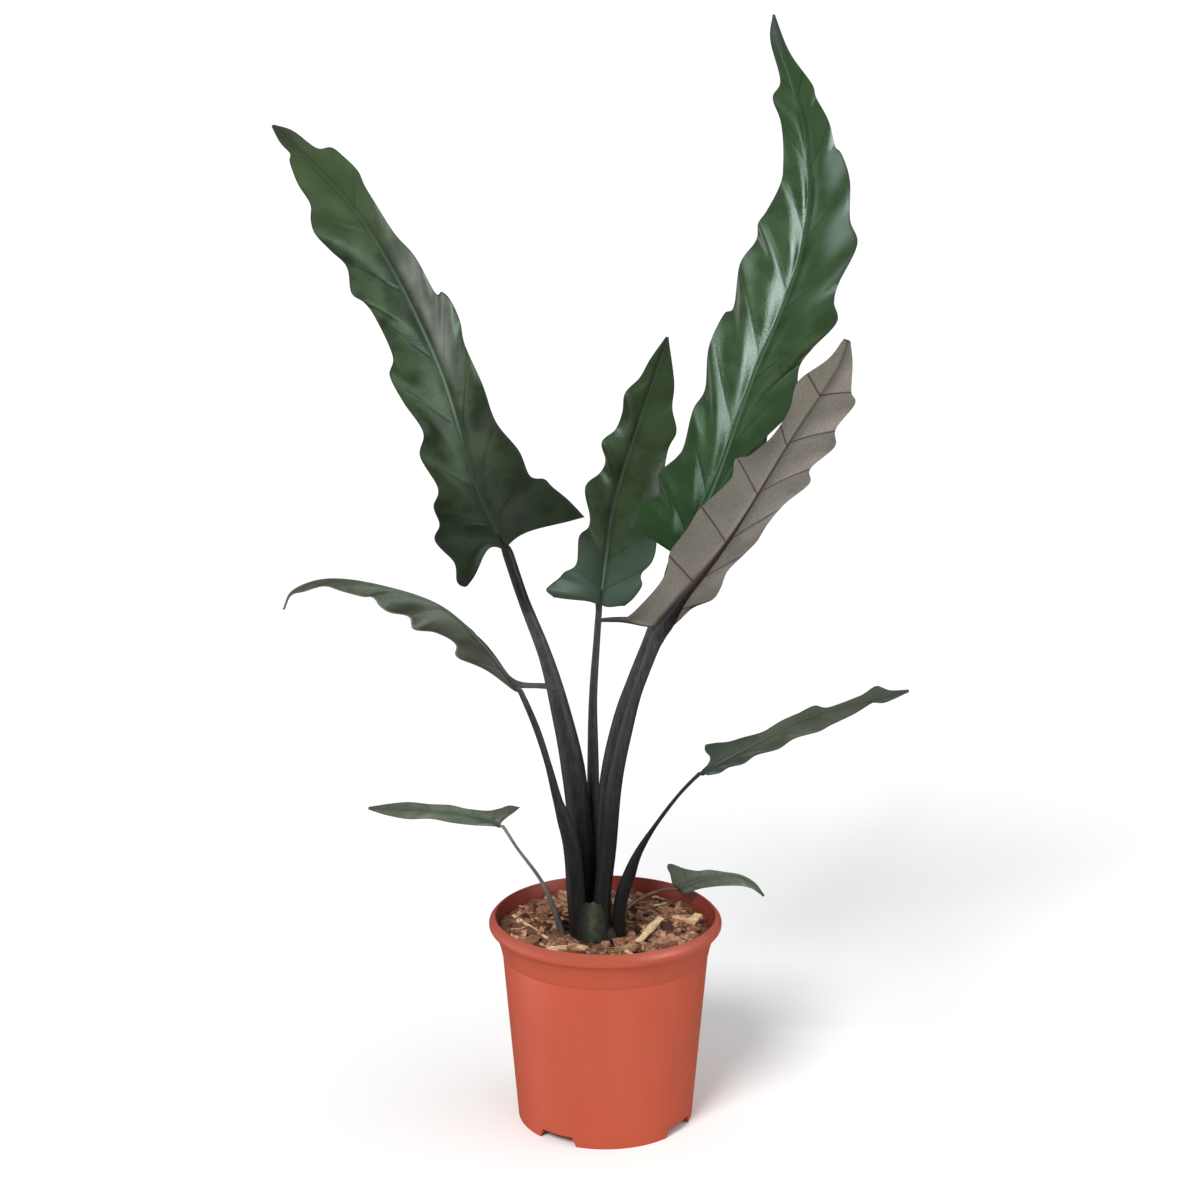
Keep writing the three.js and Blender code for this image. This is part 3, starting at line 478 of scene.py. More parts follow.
def leaf_material(name, look):
    """Living leaf blade: a waxy cuticle over green tissue, glossy above and matt and mauve below, with
    pressed side veins, a paler midrib above and dark raised veins below."""
    material, tree, place = blank_material(name)
    values = []
    for attribute in ("leaf_grid", "leaf_size"):
        read = add(tree, "ShaderNodeAttribute", attribute_name=attribute)
        values += add(tree, "ShaderNodeSeparateXYZ", {"Vector": read.outputs["Vector"]}).outputs
    phase, reach, upper_side, spacing, out, share = values

    # distance to the nearest side vein, as a share of a bay and in mm, and to the midrib in mm
    off_vein = add(tree, "ShaderNodeMath", {0: phase, 1: 0.5}, operation="PINGPONG").outputs[0]
    to_vein = add(tree, "ShaderNodeMath", {0: off_vein, 1: spacing}, operation="MULTIPLY").outputs[0]
    to_rib = add(tree, "ShaderNodeMath", {0: out}, operation="ABSOLUTE").outputs[0]
    # the dark rib of the underside narrows from 4.2 mm to 0.9 mm
    rib_width = ramps(tree, (share, 0, 0.5, 4.2, 0.9))
    across_rib = add(tree, "ShaderNodeMath", {0: to_rib, 1: rib_width}, operation="DIVIDE").outputs[0]
    rib_from, rib_to = look["rib_shown"]

    # cloudy tone of the tissue, 14 mm across, and the net of fine veins, 2.4 mm across
    cloud = add(
        tree, "ShaderNodeTexNoise", {"Vector": place, "Scale": per_metre(14), "Detail": 4},
    ).outputs["Fac"]
    net = add(
        tree, "ShaderNodeTexVoronoi", {"Vector": place, "Scale": per_metre(2.4)}, feature="DISTANCE_TO_EDGE",
    ).outputs["Distance"]

    upper_face = coats(tree, linear(look["upper"]), look, [
        ("upper_light", (cloud, 0.36, 0.64, 0, 1)),
        ("high", (share, 0.55, 0.8, 0, 0.7)),
        # grey sheen painted on the upper part of the right half
        ("bloom", (out, 0.8, 7, 0, 0.5), (cloud, 0.3, 0.7, 0.65, 1),
         (share, 0.28, 0.42, 0, 1), (share, 0.5, 0.72, 1, 0)),
        # grey sheen between the veins towards the right edge, drawn as a tone
        ("bay", (reach, 0.35, 0.8, 0, 0.7), (off_vein, 0.05, 0.35, 0, 1), (out, 0, 2, 0, 1),
         (share, 0.38, 0.45, 0, 1), (share, 0.66, 0.76, 1, 0)),
        # painted shade at the stalk on the mature leaf; on the middle leaf the pale tone there is a painted
        # sheen
        ("base", (share, 0, 0.3, 0.8, 0)),
        ("vein", (to_vein, 0.15, 0.9, look["vein_depth"], 0), (to_rib, 6, 16, 1, 0.25)),
        # dark sides of the midrib, and its pale ridge
        ("vein", (to_rib, 1, 3, 0.55, 0), (share, 0, 0.9, 1, 0.4)),
        ("rib", (to_rib, 0.4, 1, 1, 0), (share, rib_from, rib_from + 0.12, 0.12, 1),
         (share, rib_from + 0.1, rib_to, 1, 0.1)),
        ("margin", (reach, 0.95, 0.985, 0, 0.7)),
        ("margin", (share, 0.88, 0.97, 0, 0.6)),
    ])
    under_tissue = add(
        tree, "ShaderNodeMix",
        {"Factor": cloud, "A": linear(look["under"]), "B": linear(look["under_light"])}, data_type="RGBA",
    )
    under_face = coats(tree, under_tissue.outputs["Result"], look, [
        ("under_pale", (out, -6, -1, 0.45, 0), (cloud, 0.35, 0.65, 0.4, 1)),
        ("under_rib", (net, 0, 0.12, 0.16, 0)),
        ("under_rib", (to_vein, 0.2, 0.9, 0.75, 0)),
        ("under_rib", (across_rib, 0.4, 1, 1, 0), (share, 0.3, 1, 1, 0.4)),
    ])
    faces = add(
        tree, "ShaderNodeMix", {"Factor": upper_side, "A": under_face, "B": upper_face}, data_type="RGBA",
    )
    roughness = look["roughness"]
    upper_rough = ramps(tree, (cloud, 0.3, 0.7, roughness, roughness + 0.1))
    rough = add(
        tree, "ShaderNodeMix", {"Factor": upper_side, "A": UNDERSIDE_ROUGHNESS, "B": upper_rough},
        data_type="FLOAT",
    )

    # cell relief of the cuticle, drawn at 0.7 mm, coarser than real, so that it shows
    cells = add(tree, "ShaderNodeTexNoise", {"Vector": place, "Scale": per_metre(0.7), "Detail": 2})
    relief = add(
        tree, "ShaderNodeMath", {0: ramps(tree, (net, 0, 0.12, 1, 0)), 1: cells.outputs["Fac"]},
        operation="SUBTRACT",
    )
    strength = ramps(tree, (share, 0.7, 0.85, 0.12, 0.01))
    bump = add(
        tree, "ShaderNodeBump", {"Height": relief.outputs[0], "Strength": strength, "Distance": 0.0004},
    )
    gloss = (share, 0.05, 0.4, look["base_gloss"], look["gloss"])
    return finish_material(material, {
        "Base Color": faces.outputs["Result"],
        "Roughness": rough.outputs["Result"],
        "IOR": CUTICLE_IOR,
        "Specular IOR Level": ramps(tree, gloss, (share, 0.6, 0.8, 1, 0.15)),
        "Normal": bump.outputs["Normal"],
    })


def petiole_material(name, tones, roughness=0.5):
    """Smooth skin of a leaf stalk, charcoal-purple on most: satin, with fine lengthwise streaks. Its tones
    follow one another from the foot to the top."""
    material, tree, place = blank_material(name)
    height = add(tree, "ShaderNodeSeparateXYZ", {"Vector": place})
    low_end, high_end = (level * MM for level in STALK_TONES)
    ends = {"From Min": low_end, "From Max": high_end}
    rise = add(tree, "ShaderNodeMapRange", {"Value": height.outputs["Z"], **ends})
    tone = add(tree, "ShaderNodeValToRGB", {"Fac": rise.outputs[0]})
    set_tones(tone, tones)
    # streaks 1.2 mm wide and 30 mm long
    stretched = add(tree, "ShaderNodeMapping", {"Vector": place, "Scale": (1, 1, 0.04)})
    streaks = add(
        tree, "ShaderNodeTexNoise", {"Vector": stretched.outputs[0], "Scale": per_metre(1.2), "Detail": 3}
    )
    speckle = add(tree, "ShaderNodeTexNoise", {"Vector": place, "Scale": per_metre(5), "Detail": 5})
    mixed = add(
        tree, "ShaderNodeMix",
        {"Factor": 0.35, "A": streaks.outputs["Fac"], "B": speckle.outputs["Fac"]}, data_type="FLOAT",
    )
    bump = add(
        tree, "ShaderNodeBump", {"Height": streaks.outputs["Fac"], "Strength": 0.2, "Distance": 0.0004}
    )
    return finish_material(material, {
        "Base Color": shaded(tree, tone.outputs["Color"], mixed.outputs["Result"], 0.35, 0.65, 0.65, 1.4),
        "Roughness": roughness,
        "IOR": CUTICLE_IOR,
        "Specular IOR Level": 0.12,
        "Normal": bump.outputs["Normal"],
    })


def polypropylene():
    """Injection-moulded terracotta-red polypropylene: satin with patchy scuffs in its gloss, a faint cloudy
    flow of the melt and a fine orange peel. The lip's duller, pinker tone is a painted sheen, and the inner
    wall's dark tone is painted shade."""
    material, tree, place = blank_material("moulded_polypropylene")
    height = add(tree, "ShaderNodeSeparateXYZ", {"Vector": place})
    flow = add(tree, "ShaderNodeMapping", {"Vector": place, "Scale": (1, 1, 0.25)})
    cloud = add(tree, "ShaderNodeTexNoise", {"Vector": flow.outputs[0], "Scale": per_metre(18), "Detail": 3})
    # the inner wall, where the surface looks at the pot's axis, is darkened: a painted shade
    axis_to = add(tree, "ShaderNodeVectorMath", {0: place, 1: (-1, -1, 0)}, operation="MULTIPLY")
    inward = add(tree, "ShaderNodeVectorMath", {0: axis_to.outputs[0]}, operation="NORMALIZE")
    normal = add(tree, "ShaderNodeNewGeometry").outputs["Normal"]
    facing = add(tree, "ShaderNodeVectorMath", {0: inward.outputs[0], 1: normal}, operation="DOT_PRODUCT")
    inside = add(
        tree, "ShaderNodeMapRange",
        {"Value": facing.outputs["Value"], "From Min": 0.3, "From Max": 0.8, "To Min": 0, "To Max": 0.8},
    )
    # the lip's duller, pinker tone is a painted sheen
    lip = ramps(tree, (height.outputs["Z"], (POT_HEIGHT - 6.1) * MM, (POT_HEIGHT - 2.1) * MM, 0, 1))
    colour = linear("#aa4a34")
    for shown, tone in ((cloud.outputs["Fac"], "#b5533c"), (lip, "#9b4d3c"), (inside.outputs[0], "#6b2a24")):
        inputs = {"Factor": shown, "A": colour, "B": linear(tone)}
        colour = add(tree, "ShaderNodeMix", inputs, data_type="RGBA").outputs["Result"]
    scuffs = add(tree, "ShaderNodeTexNoise", {"Vector": place, "Scale": per_metre(6), "Detail": 6})
    rough = add(
        tree, "ShaderNodeMapRange",
        {"Value": scuffs.outputs["Fac"], "From Min": 0.3, "From Max": 0.7, "To Min": 0.36, "To Max": 0.5},
    )
    # orange peel of the mould, drawn at 1.5 mm
    peel = add(tree, "ShaderNodeTexNoise", {"Vector": place, "Scale": per_metre(1.5), "Detail": 2})
    bump = add(tree, "ShaderNodeBump", {"Height": peel.outputs["Fac"], "Strength": 0.08, "Distance": 0.0003})
    return finish_material(material, {
        "Base Color": colour,
        "Roughness": rough.outputs[0],
        "IOR": 1.49,
        "Specular IOR Level": 0.2,
        "Normal": bump.outputs["Normal"],
    })


def bark_material(name, tones, grain_mm):
    """Dry plant matter, such as bark, coco and an old sheath: matt and fibrous, each piece in a tone of its
    own between the darkest and the palest."""
    material, tree, place = blank_material(name)
    tint = add(tree, "ShaderNodeAttribute", attribute_name="tint")
    ramp = add(tree, "ShaderNodeValToRGB", {"Fac": tint.outputs["Fac"]})
    set_tones(ramp, [(i / (len(tones) - 1), tone) for i, tone in enumerate(tones)])
    grain = add(tree, "ShaderNodeTexNoise", {"Vector": place, "Scale": per_metre(grain_mm), "Detail": 6})
    bump = add(tree, "ShaderNodeBump", {"Height": grain.outputs["Fac"], "Strength": 0.6, "Distance": 0.0008})
    return finish_material(material, {
        "Base Color": shaded(tree, ramp.outputs["Color"], grain.outputs["Fac"], 0.3, 0.7, 0.55, 1.35),
        "Roughness": 0.85,
        "IOR": 1.4,
        "Normal": bump.outputs["Normal"],
    })


# Looks of the blades. On the upper face: upper and upper_light are the tissue and its clouds, high the tone
# towards the tip, bloom a grey sheen painted on the right half, bay the sheen painted between the
# veins, and base the tone at the stalk, which is a painted shade on the mature leaf and a painted sheen on
# the middle one. On the underside: under and under_light are the tissue and its clouds, under_pale lies on
# the left half, and under_rib is every vein. rib_shown says from where to where the midrib is pale, as
# shares.
MATURE_LEAF = dict(
    upper="#252f1e", upper_light="#3a4933", high="#425237", bloom="#8b8d89", bay="#3a4933", base="#191f17",
    vein="#232e20", rib="#5d6d60", margin="#2f2d2c",
    under="#68635a", under_light="#7a756c", under_pale="#968f88", under_rib="#2e231d",
    rib_shown=(0.2, 0.75), vein_depth=0.35, roughness=0.36, base_gloss=0.08, gloss=0.27,
)
MIDDLE_LEAF = dict(
    MATURE_LEAF, upper="#27331f", upper_light="#33422a", high="#2f3d27", bloom="#2f3d27", bay="#33422a",
    base="#46554a", rib="#56645a", rib_shown=(0, 0.26), base_gloss=0.15,
)
GLOSSY_LEAF = dict(
    MATURE_LEAF, upper="#293c24", upper_light="#374a31", high="#31452c", bloom="#31452c", bay="#62756a",
    base="#263b23", vein="#1a2f1d", rib="#435a42", margin="#3a3a3c",
    rib_shown=(0, 0.9), vein_depth=0.9, roughness=0.29, base_gloss=0.1, gloss=0.5,
)
CURLED_LEAF = dict(
    MATURE_LEAF, upper="#32372b", upper_light="#4a4f41", high="#4a4b43", bloom="#4a4f41", bay="#4a4f41",
    base="#4c4b47", rib="#585b53", margin="#696863",
    rib_shown=(0, 0.75), roughness=0.45, base_gloss=0.2, gloss=0.25,
)
PALE_LEAF = dict(
    MATURE_LEAF, upper="#50584a", upper_light="#606858", high="#4e5648", bloom="#4e5648", bay="#5a6252",
    base="#4b4f43", vein="#2c352d", rib="#4a5446", margin="#3d403a",
    rib_shown=(0, 0.75), roughness=0.42, base_gloss=0.4, gloss=0.4,
)
SHADED_LEAF = dict(
    PALE_LEAF, upper="#394133", upper_light="#485040", high="#464840", bloom="#464840", bay="#464840",
    base="#343c35",
)
LEAF_LOOKS = {
    "mature": MATURE_LEAF,
    "middle": MIDDLE_LEAF,
    "glossy": GLOSSY_LEAF,
    "curled": CURLED_LEAF,
    "pale": PALE_LEAF,
    "shaded": SHADED_LEAF,
}
finishes = {finish: leaf_material(f"leaf_cuticle_{finish}", look) for finish, look in LEAF_LOOKS.items()}
petiole = petiole_material(
    "petiole_skin", [(0, "#1b1a19"), (0.3, "#1f1e1f"), (0.81, "#3a3a3a"), (0.87, "#1f1b19")],
)
petiole_grey = petiole_material("petiole_skin_grey", [(0, "#45423f"), (0.3, "#6b6865")])
petiole_low = petiole_material("petiole_skin_brown", [(0, "#5c4436"), (0.3, "#5d4a3c"), (0.81, "#55503f")])
crown_tissue = petiole_material("crown_tissue", [(0, "#231e19"), (0.3, "#28231e"), (0.81, "#2f2a26")], 0.7)
sheath_tissue = bark_material("leaf_sheath_tissue", ["#1d1d18", "#2b2f25", "#3d4434"], 3)
plastic = polypropylene()
bark = bark_material("bark_chips", ["#3a261d", "#684634", "#8f6750", "#ae866a", "#cdaa8b"], 1.6)
coir = bark_material("coco_fibre", ["#54371f", "#7d5a3a", "#a98459"], 0.8)
straw = bark_material("dry_straw", ["#b39068", "#d9c09a"], 1.0)


# Making meshes

def new_mesh(name, bm):
    """Mesh of a bmesh, which is freed."""
    mesh = bpy.data.meshes.new(name)
    bm.to_mesh(mesh)
    bm.free()
    return mesh


def new_object(name, data):
    """Object that stands in the scene."""
    placed = bpy.data.objects.new(name, data)
    bpy.context.scene.collection.objects.link(placed)
    return placed


def finish_piece(name, bm, material, node, sharp_angle=50):
    """Turns a shaped bmesh in metres into a piece of the object that stands for a CAD node."""
    for edge in bm.edges:
        edge.smooth = len(edge.link_faces) == 2 and edge.calc_face_angle(0) < math.radians(sharp_angle)
    for face in bm.faces:
        face.smooth = True
    mesh = new_mesh(name, bm)
    mesh.materials.append(material)
    piece = new_object(name, mesh)
    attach(piece, "root")
    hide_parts(node)
    return piece


def coordinates(bm):
    return np.array([vert.co[:] for vert in bm.verts])


def place_all(bm, points_mm):
    for vert, point in zip(bm.verts, points_mm):
        vert.co = Vector(point) * MM


def slab(columns, rows):
    """Closed slab made of a grid's two faces. Also gives where each vertex is: across from -1 to 1, the
    share of the way along, and whether it is on the outer face."""
    bm = bmesh.new()
    bmesh.ops.create_grid(bm, x_segments=columns, y_segments=rows, size=1)
    raised = bmesh.ops.extrude_face_region(bm, geom=bm.faces[:], use_keep_orig=True)
    for item in raised["geom"]:
        if isinstance(item, bmesh.types.BMVert):
            item.co.z = 1
    across, along, height = coordinates(bm).T
    return bm, across, (along + 1) / 2, height > 0.5


def soften_blocks(bm, width_mm):
    """Bevels every edge of the loose blocks in a bmesh."""
    bmesh.ops.bevel(
        bm, geom=bm.edges[:], offset=width_mm * MM, segments=2, profile=0.5, affect="EDGES", material=-1,
        clamp_overlap=True,
    )
    bmesh.ops.recalc_face_normals(bm, faces=bm.faces)


def rib_frame(leaf, curve, along):
    """Place, upward and outward directions at distances along a leaf's rib."""
    share = np.clip(along / curve.length, 0, 1)
    tangent = curve.direction(share)
    start, end = unit(np.array(leaf["face"], float))
    up = start + (end - start) * share[:, None]
    up = unit(up - np.sum(up * tangent, axis=1, keepdims=True) * tangent)
    place = curve.at(share) + tangent * np.minimum(along, 0)[:, None]
    lobe = smoothstep(-along, -LOBE_BLEND, LOBE_BLEND)
    lobe_fold, base_fold, tip_fold = leaf["fold"]
    blade_fold = base_fold + (tip_fold - base_fold) * share
    fold = np.radians(blade_fold + (lobe_fold - blade_fold) * lobe)
    return place, up, np.cross(tangent, up), fold


def vein_sweep(leaf):
    """How far the midrib's rows lag behind the edge's, which makes the side veins sweep towards the tip."""
    return 1.3 if leaf["name"] == "front_right" else VEIN_SWEEP


def blade_surface(leaf, across, share, upper):
    """Points of a blade's two faces, and the two attributes that its veins are drawn from. The first says
    where a point lies between veins, how far out to the edge, and on which face. The second gives the veins'
    spacing, the way out in mm and the share of the leaf's length."""
    curve = Curve(leaf["rib"])
    side = np.where(across < 0, -1.0, 1.0)
    edge = np.zeros((len(across), 3))
    phase = np.zeros(len(across))
    spacing = np.zeros(len(across))
    for sign, key in ((-1, "left"), (1, "right")):
        line = Curve(leaf[key])
        mine = side == sign
        edge[mine] = line.at(share[mine] ** (1 / vein_sweep(leaf)))
        places = [0, *VEINS.get(leaf["name"], SMALL_LEAF_VEINS)[key], 1]
        phase[mine] = np.interp(share[mine], places, np.arange(len(places)))
        gaps = np.diff(places) * curve.length
        spacing[mine] = gaps[np.minimum(phase[mine].astype(int), len(gaps) - 1)]
    rib_half = np.minimum(leaf["rib_width"] * (1 - 0.75 * share), edge[:, 1] * 0.4)
    on_rib = np.minimum(np.abs(across) / RIB_ZONE, 1)
    reach = np.clip((np.abs(across) - RIB_ZONE) / (1 - RIB_ZONE), 0, 1)
    sinus = np.where(side < 0, *leaf["sinus"]) * np.maximum(0, 1 - share / SINUS_SHARE)
    along = share * curve.length
    along = along + (edge[:, 0] - along) * reach + sinus * SINUS_PEAK * reach * (1 - reach) ** 3
    out = rib_half * on_rib + (edge[:, 1] - rib_half) * reach

    # side veins press the upper face down, and the blade swells between them
    width = np.minimum(edge[:, 1] / 20, 1)
    fade = smoothstep(reach, 0.0, 0.1) * (1 - smoothstep(reach, 0.75, 1.0))
    to_vein = np.abs(phase - np.round(phase)) * spacing
    groove_depth, quilt_height = RELIEF.get(leaf["finish"], PLAIN_RELIEF)
    groove = groove_depth * width * fade * np.exp(-((to_vein / GROOVE_WIDTH) ** 2))
    swell = quilt_height * width * np.sin(np.pi * phase) ** 2 * np.sin(np.pi * np.sqrt(reach)) ** 2
    arch = ARCH * edge[:, 1] * reach * (1 - reach)
    lift = edge[:, 2] * reach**2 + arch + swell - groove

    # the midrib is a fine ridge above and a round keel below
    across_rib = np.minimum(out / np.maximum(rib_half, 1e-6), 1)
    keel = leaf["rib_width"] * (1 - 0.8 * share) * np.sqrt(1 - across_rib**2)
    ridge = 0.12 * (1 - share) * smoothstep(share, 0, 0.25) * np.exp(-((out / 0.6) ** 2))
    half = BLADE_THICKNESS / 2 * (1 - 0.5 * reach**8)
    face = np.where(upper, half + ridge, -half - keel - groove * 0.8)
    place, up, outward, fold = rib_frame(leaf, curve, along)
    points = place + outward * (side * out * np.cos(fold))[:, None]
    points = points + up * (out * np.sin(fold) + lift + face)[:, None]
    grid = np.column_stack([phase, reach, upper])
    sizes = np.column_stack([spacing, out * side, share])
    return points, grid, sizes


def make_blade(leaf):
    curve = Curve(leaf["rib"])
    bm, across, row, upper = slab(2 * HALF_COLUMNS, round(curve.length / ROW_LENGTH))
    points, grid, sizes = blade_surface(leaf, across, row ** vein_sweep(leaf), upper)
    grid_layer = bm.verts.layers.float_vector.new("leaf_grid")
    size_layer = bm.verts.layers.float_vector.new("leaf_size")
    bm.verts.ensure_lookup_table()
    for vert, veins, size in zip(bm.verts, grid, sizes):
        vert[grid_layer] = veins
        vert[size_layer] = size
    place_all(bm, points)
    bmesh.ops.recalc_face_normals(bm, faces=bm.faces)
    finish_piece(f"leaf_blade_{leaf['name']}", bm, finishes[leaf["finish"]], f"blade_{leaf['name']}")


def tube(rings, sides, surface):
    """Closed tube whose surface gives the point for each angle and each share of the way."""
    bm = bmesh.new()
    bmesh.ops.create_grid(bm, x_segments=sides, y_segments=rings, size=1)
    angle, share, _ = coordinates(bm).T
    place_all(bm, surface(angle * np.pi, (share + 1) / 2))
    bmesh.ops.remove_doubles(bm, verts=bm.verts, dist=1e-6)
    open_edges = [edge for edge in bm.edges if edge.is_boundary]
    bmesh.ops.holes_fill(bm, edges=open_edges, sides=0)
    bmesh.ops.recalc_face_normals(bm, faces=bm.faces)
    return bm


# How the front right stalk, seen from below, runs on under its blade: distance along the midrib, radius and
# shift to the left. Its neck shifts with it, to the left and down
KEELS = {"front_right": [(56, 0.4, 0), (38, 1.1, 0), (20, 2.2, 0.5), (7, 3.6, 1.3)]}
NECK_SHIFTS = {"front_right": (1.6, 2)}


def make_stalk(leaf):
    """Petiole from its foot in the crown to under the blade. Its sheath's two wings fade out halfway up, and
    fine ridges and a shallow channel run along it."""
    rib = Curve(leaf["rib"])
    tangent = rib.direction(np.array([0.0]))[0]
    base = np.array(leaf["rib"][0], float)
    width = leaf["rib_width"]
    _, up, outward, _ = rib_frame(leaf, rib, np.array([0.0]))
    below = base - tangent * NECK_LENGTH * width
    line = []
    for ahead, radius, left in KEELS.get(leaf["name"], [(8, 0.75 * width, 0), (0, width, 0)]):
        place = rib.at(np.array([ahead / rib.length]))[0]
        line.append([*(place - up[0] * radius * 0.5 - outward[0] * left), radius])
    left, down = NECK_SHIFTS.get(leaf["name"], (0, 0))
    line += [[*(below - outward[0] * left - up[0] * down), leaf["neck"]], *leaf["stalk"]]
    line = np.array(line[::-1], float)
    centre, radii = Curve(line[:, :3]), line[:, 3]
    rings = max(30, round(centre.length / 2))
    inward = unit(np.array([*CROWN_CENTRE, 0]) - line[0, :3] * [1, 1, 0] + [1e-3, 1e-3, 0])

    def surface(angle, share):
        by_point = np.interp(share * centre.length, centre.reached, centre.shares)
        place, along = centre.by_point(by_point), centre.direction(share)
        radius = np.interp(by_point * (len(radii) - 1), np.arange(len(radii)), radii)
        one = unit(inward - np.sum(inward * along, axis=1, keepdims=True) * along)
        other = np.cross(along, one)
        wings = np.exp(-((np.abs(angle) - 1.0) ** 2) / 0.02) * (1 - smoothstep(share, 0.25, 0.5))
        ribs = 0.012 * np.sin(angle * 11) + 0.008 * np.sin(angle * 17 + 1)
        channel = -0.05 * np.exp(-(angle**2) / 0.2) * smoothstep(share, 0.2, 0.5)
        reach = radius * (1 + 0.1 * wings + ribs + channel)
        return place + one * (np.cos(angle) * reach)[:, None] + other * (np.sin(angle) * reach)[:, None]

    bm = tube(rings, 28, surface)
    skin = {"lowest_right": petiole_low, "low_left": petiole_grey}.get(leaf["name"], petiole)
    finish_piece(f"petiole_{leaf['name']}", bm, skin, f"stalk_{leaf['name']}")


def make_crown():
    """Swollen foot of the plant, and the stub of an old leaf sheath that stands against its front."""

    def body(angle, share):
        profile = Curve([
            [0.02, 86, 0], [0.6, 87, 0], [0.92, 91, 0], [1, STALK_FOOT - 3, 0], [0.97, STALK_FOOT + 1, 0],
            [0.85, CROWN_TOP, 0], [0.5, CROWN_TOP + 3, 0], [0.02, CROWN_TOP + 4, 0],
        ])
        radius, height, _ = profile.at(share).T
        reach = (CROWN_RADIUS + 1) * radius * (1 + 0.035 * np.sin(angle * 7 + 1) + 0.02 * np.sin(angle * 16))
        x = CROWN_CENTRE[0] + np.cos(angle) * reach
        y = CROWN_CENTRE[1] + np.sin(angle) * reach
        return np.column_stack([x, y, height])

    finish_piece("crown_body", tube(30, 64, body), crown_tissue, "crown")

    # the sheath narrows to a ragged top, bends round the crown, and is palest just right of its middle
    bm, across, rise, outer = slab(36, 24)
    x = SHEATH_CENTRE[0] + across * (SHEATH_HALF_WIDTH - 2.2 * rise**3)
    bend = 1.4 * across**2 + 0.06 * np.sin(across * 28) + 0.6 * rise
    y = SHEATH_CENTRE[1] + bend + np.where(outer, 0, SHEATH_THICKNESS)
    z = SHEATH_FOOT + rise * (SHEATH_HEIGHT - 2 * across**2) + 0.5 * np.sin(across * 9) * rise
    place_all(bm, np.column_stack([x, y, z]))
    tint = bm.verts.layers.float.new("tint")
    for vert, place in zip(bm.verts, across):
        vert[tint] = math.exp(-(((place - 0.1) / 0.45) ** 2))
    bmesh.ops.recalc_face_normals(bm, faces=bm.faces)
    finish_piece("old_leaf_sheath", bm, sheath_tissue, "crown")


def wall_ring(height):
    """Radius and height of a ring on the outside of the pot's tapered wall."""
    return BASE_RADIUS + (WALL_TOP_RADIUS - BASE_RADIUS) * height / WALL_TOP, height


def pot_section():
    """Radii and heights of the pot's wall, from the axis under the floor up the outside, over the rolled lip
    and down the inside to the axis again."""
    foot_inner = BASE_RADIUS - 2.2
    lip_inner = LIP_RADIUS - 3.8
    channel_top = CHANNEL_HEIGHT + FLOOR_THICKNESS
    return [
        (0, 0), (FLOOR_DISC_RADIUS, 0), (FLOOR_DISC_RADIUS + 2, CHANNEL_HEIGHT),
        (foot_inner - 0.6, CHANNEL_HEIGHT), (foot_inner, 0), (BASE_RADIUS, 0),
        *(wall_ring(height) for height in (7, 9, 35, 60, WALL_TOP)),
        (WALL_TOP_RADIUS - 0.05, COLLAR_LOW - 0.3), (WALL_TOP_RADIUS + 0.2, COLLAR_LOW + 0.1),
        (COLLAR_RADIUS + 0.05, COLLAR_LOW + 0.7),
        (COLLAR_RADIUS + 0.7, NECK_HEIGHT), (COLLAR_RADIUS + 2, POT_HEIGHT - 12),
        (COLLAR_RADIUS + 3.4, POT_HEIGHT - 9), (COLLAR_RADIUS + 4.4, POT_HEIGHT - 7),
        (LIP_RADIUS - 0.6, POT_HEIGHT - 6.3), (LIP_RADIUS - 0.1, POT_HEIGHT - 5.4),
        (LIP_RADIUS, POT_HEIGHT - 3.8), (LIP_RADIUS - 0.4, POT_HEIGHT - 2.6),
        (LIP_RADIUS - 1.8, POT_HEIGHT - 0.9), (LIP_RADIUS - 2.8, POT_HEIGHT),
        (lip_inner + 0.4, POT_HEIGHT - 0.3), (lip_inner, POT_HEIGHT - 1.6), (FLARE_RADIUS, FLARE_HEIGHT),
        (NECK_RADIUS, NECK_HEIGHT), (COLLAR_RADIUS - WALL, COLLAR_LOW + 0.4),
        (WALL_TOP_RADIUS - WALL, COLLAR_LOW - 0.8), (BASE_RADIUS + 0.6 - WALL, channel_top + 1.2),
        (BASE_RADIUS - 0.4 - WALL, channel_top), (FLOOR_DISC_RADIUS + 0.8, channel_top),
        (FLOOR_DISC_RADIUS - 1.2, FLOOR_THICKNESS), (0, FLOOR_THICKNESS),
    ]


def notch_cutter():
    """Wedges at the foot ring for the notches, and pins in the drainage channel for the drain holes."""
    cuts = bmesh.new()
    for i in range(NOTCH_COUNT):
        turn = Matrix.Rotation(math.radians(NOTCH_TURN + 360 / NOTCH_COUNT * i), 4, "Z")
        size = Matrix.Diagonal((NOTCH_WIDTH * MM, 8 * MM, (NOTCH_HEIGHT + 1) * MM, 1))
        middle = Matrix.Translation((0, (1.2 - BASE_RADIUS) * MM, (NOTCH_HEIGHT - 1) / 2 * MM))
        block = bmesh.ops.create_cube(cuts, size=1, matrix=turn @ middle @ size)
        for vert in block["verts"]:
            flat = turn.inverted() @ vert.co
            flat.x *= 1 - 0.12 * (1 if flat.z > 0 else -1)
            vert.co = turn @ flat
        hole = Matrix.Translation((0, -DRAIN_RING_RADIUS * MM, CHANNEL_HEIGHT * MM))
        bmesh.ops.create_cone(
            cuts, cap_ends=True, segments=24, radius1=DRAIN_RADIUS * MM, radius2=DRAIN_RADIUS * MM,
            depth=6 * MM, matrix=turn @ hole,
        )
    return new_object("notch_cutter", new_mesh("notch_cutter", cuts))


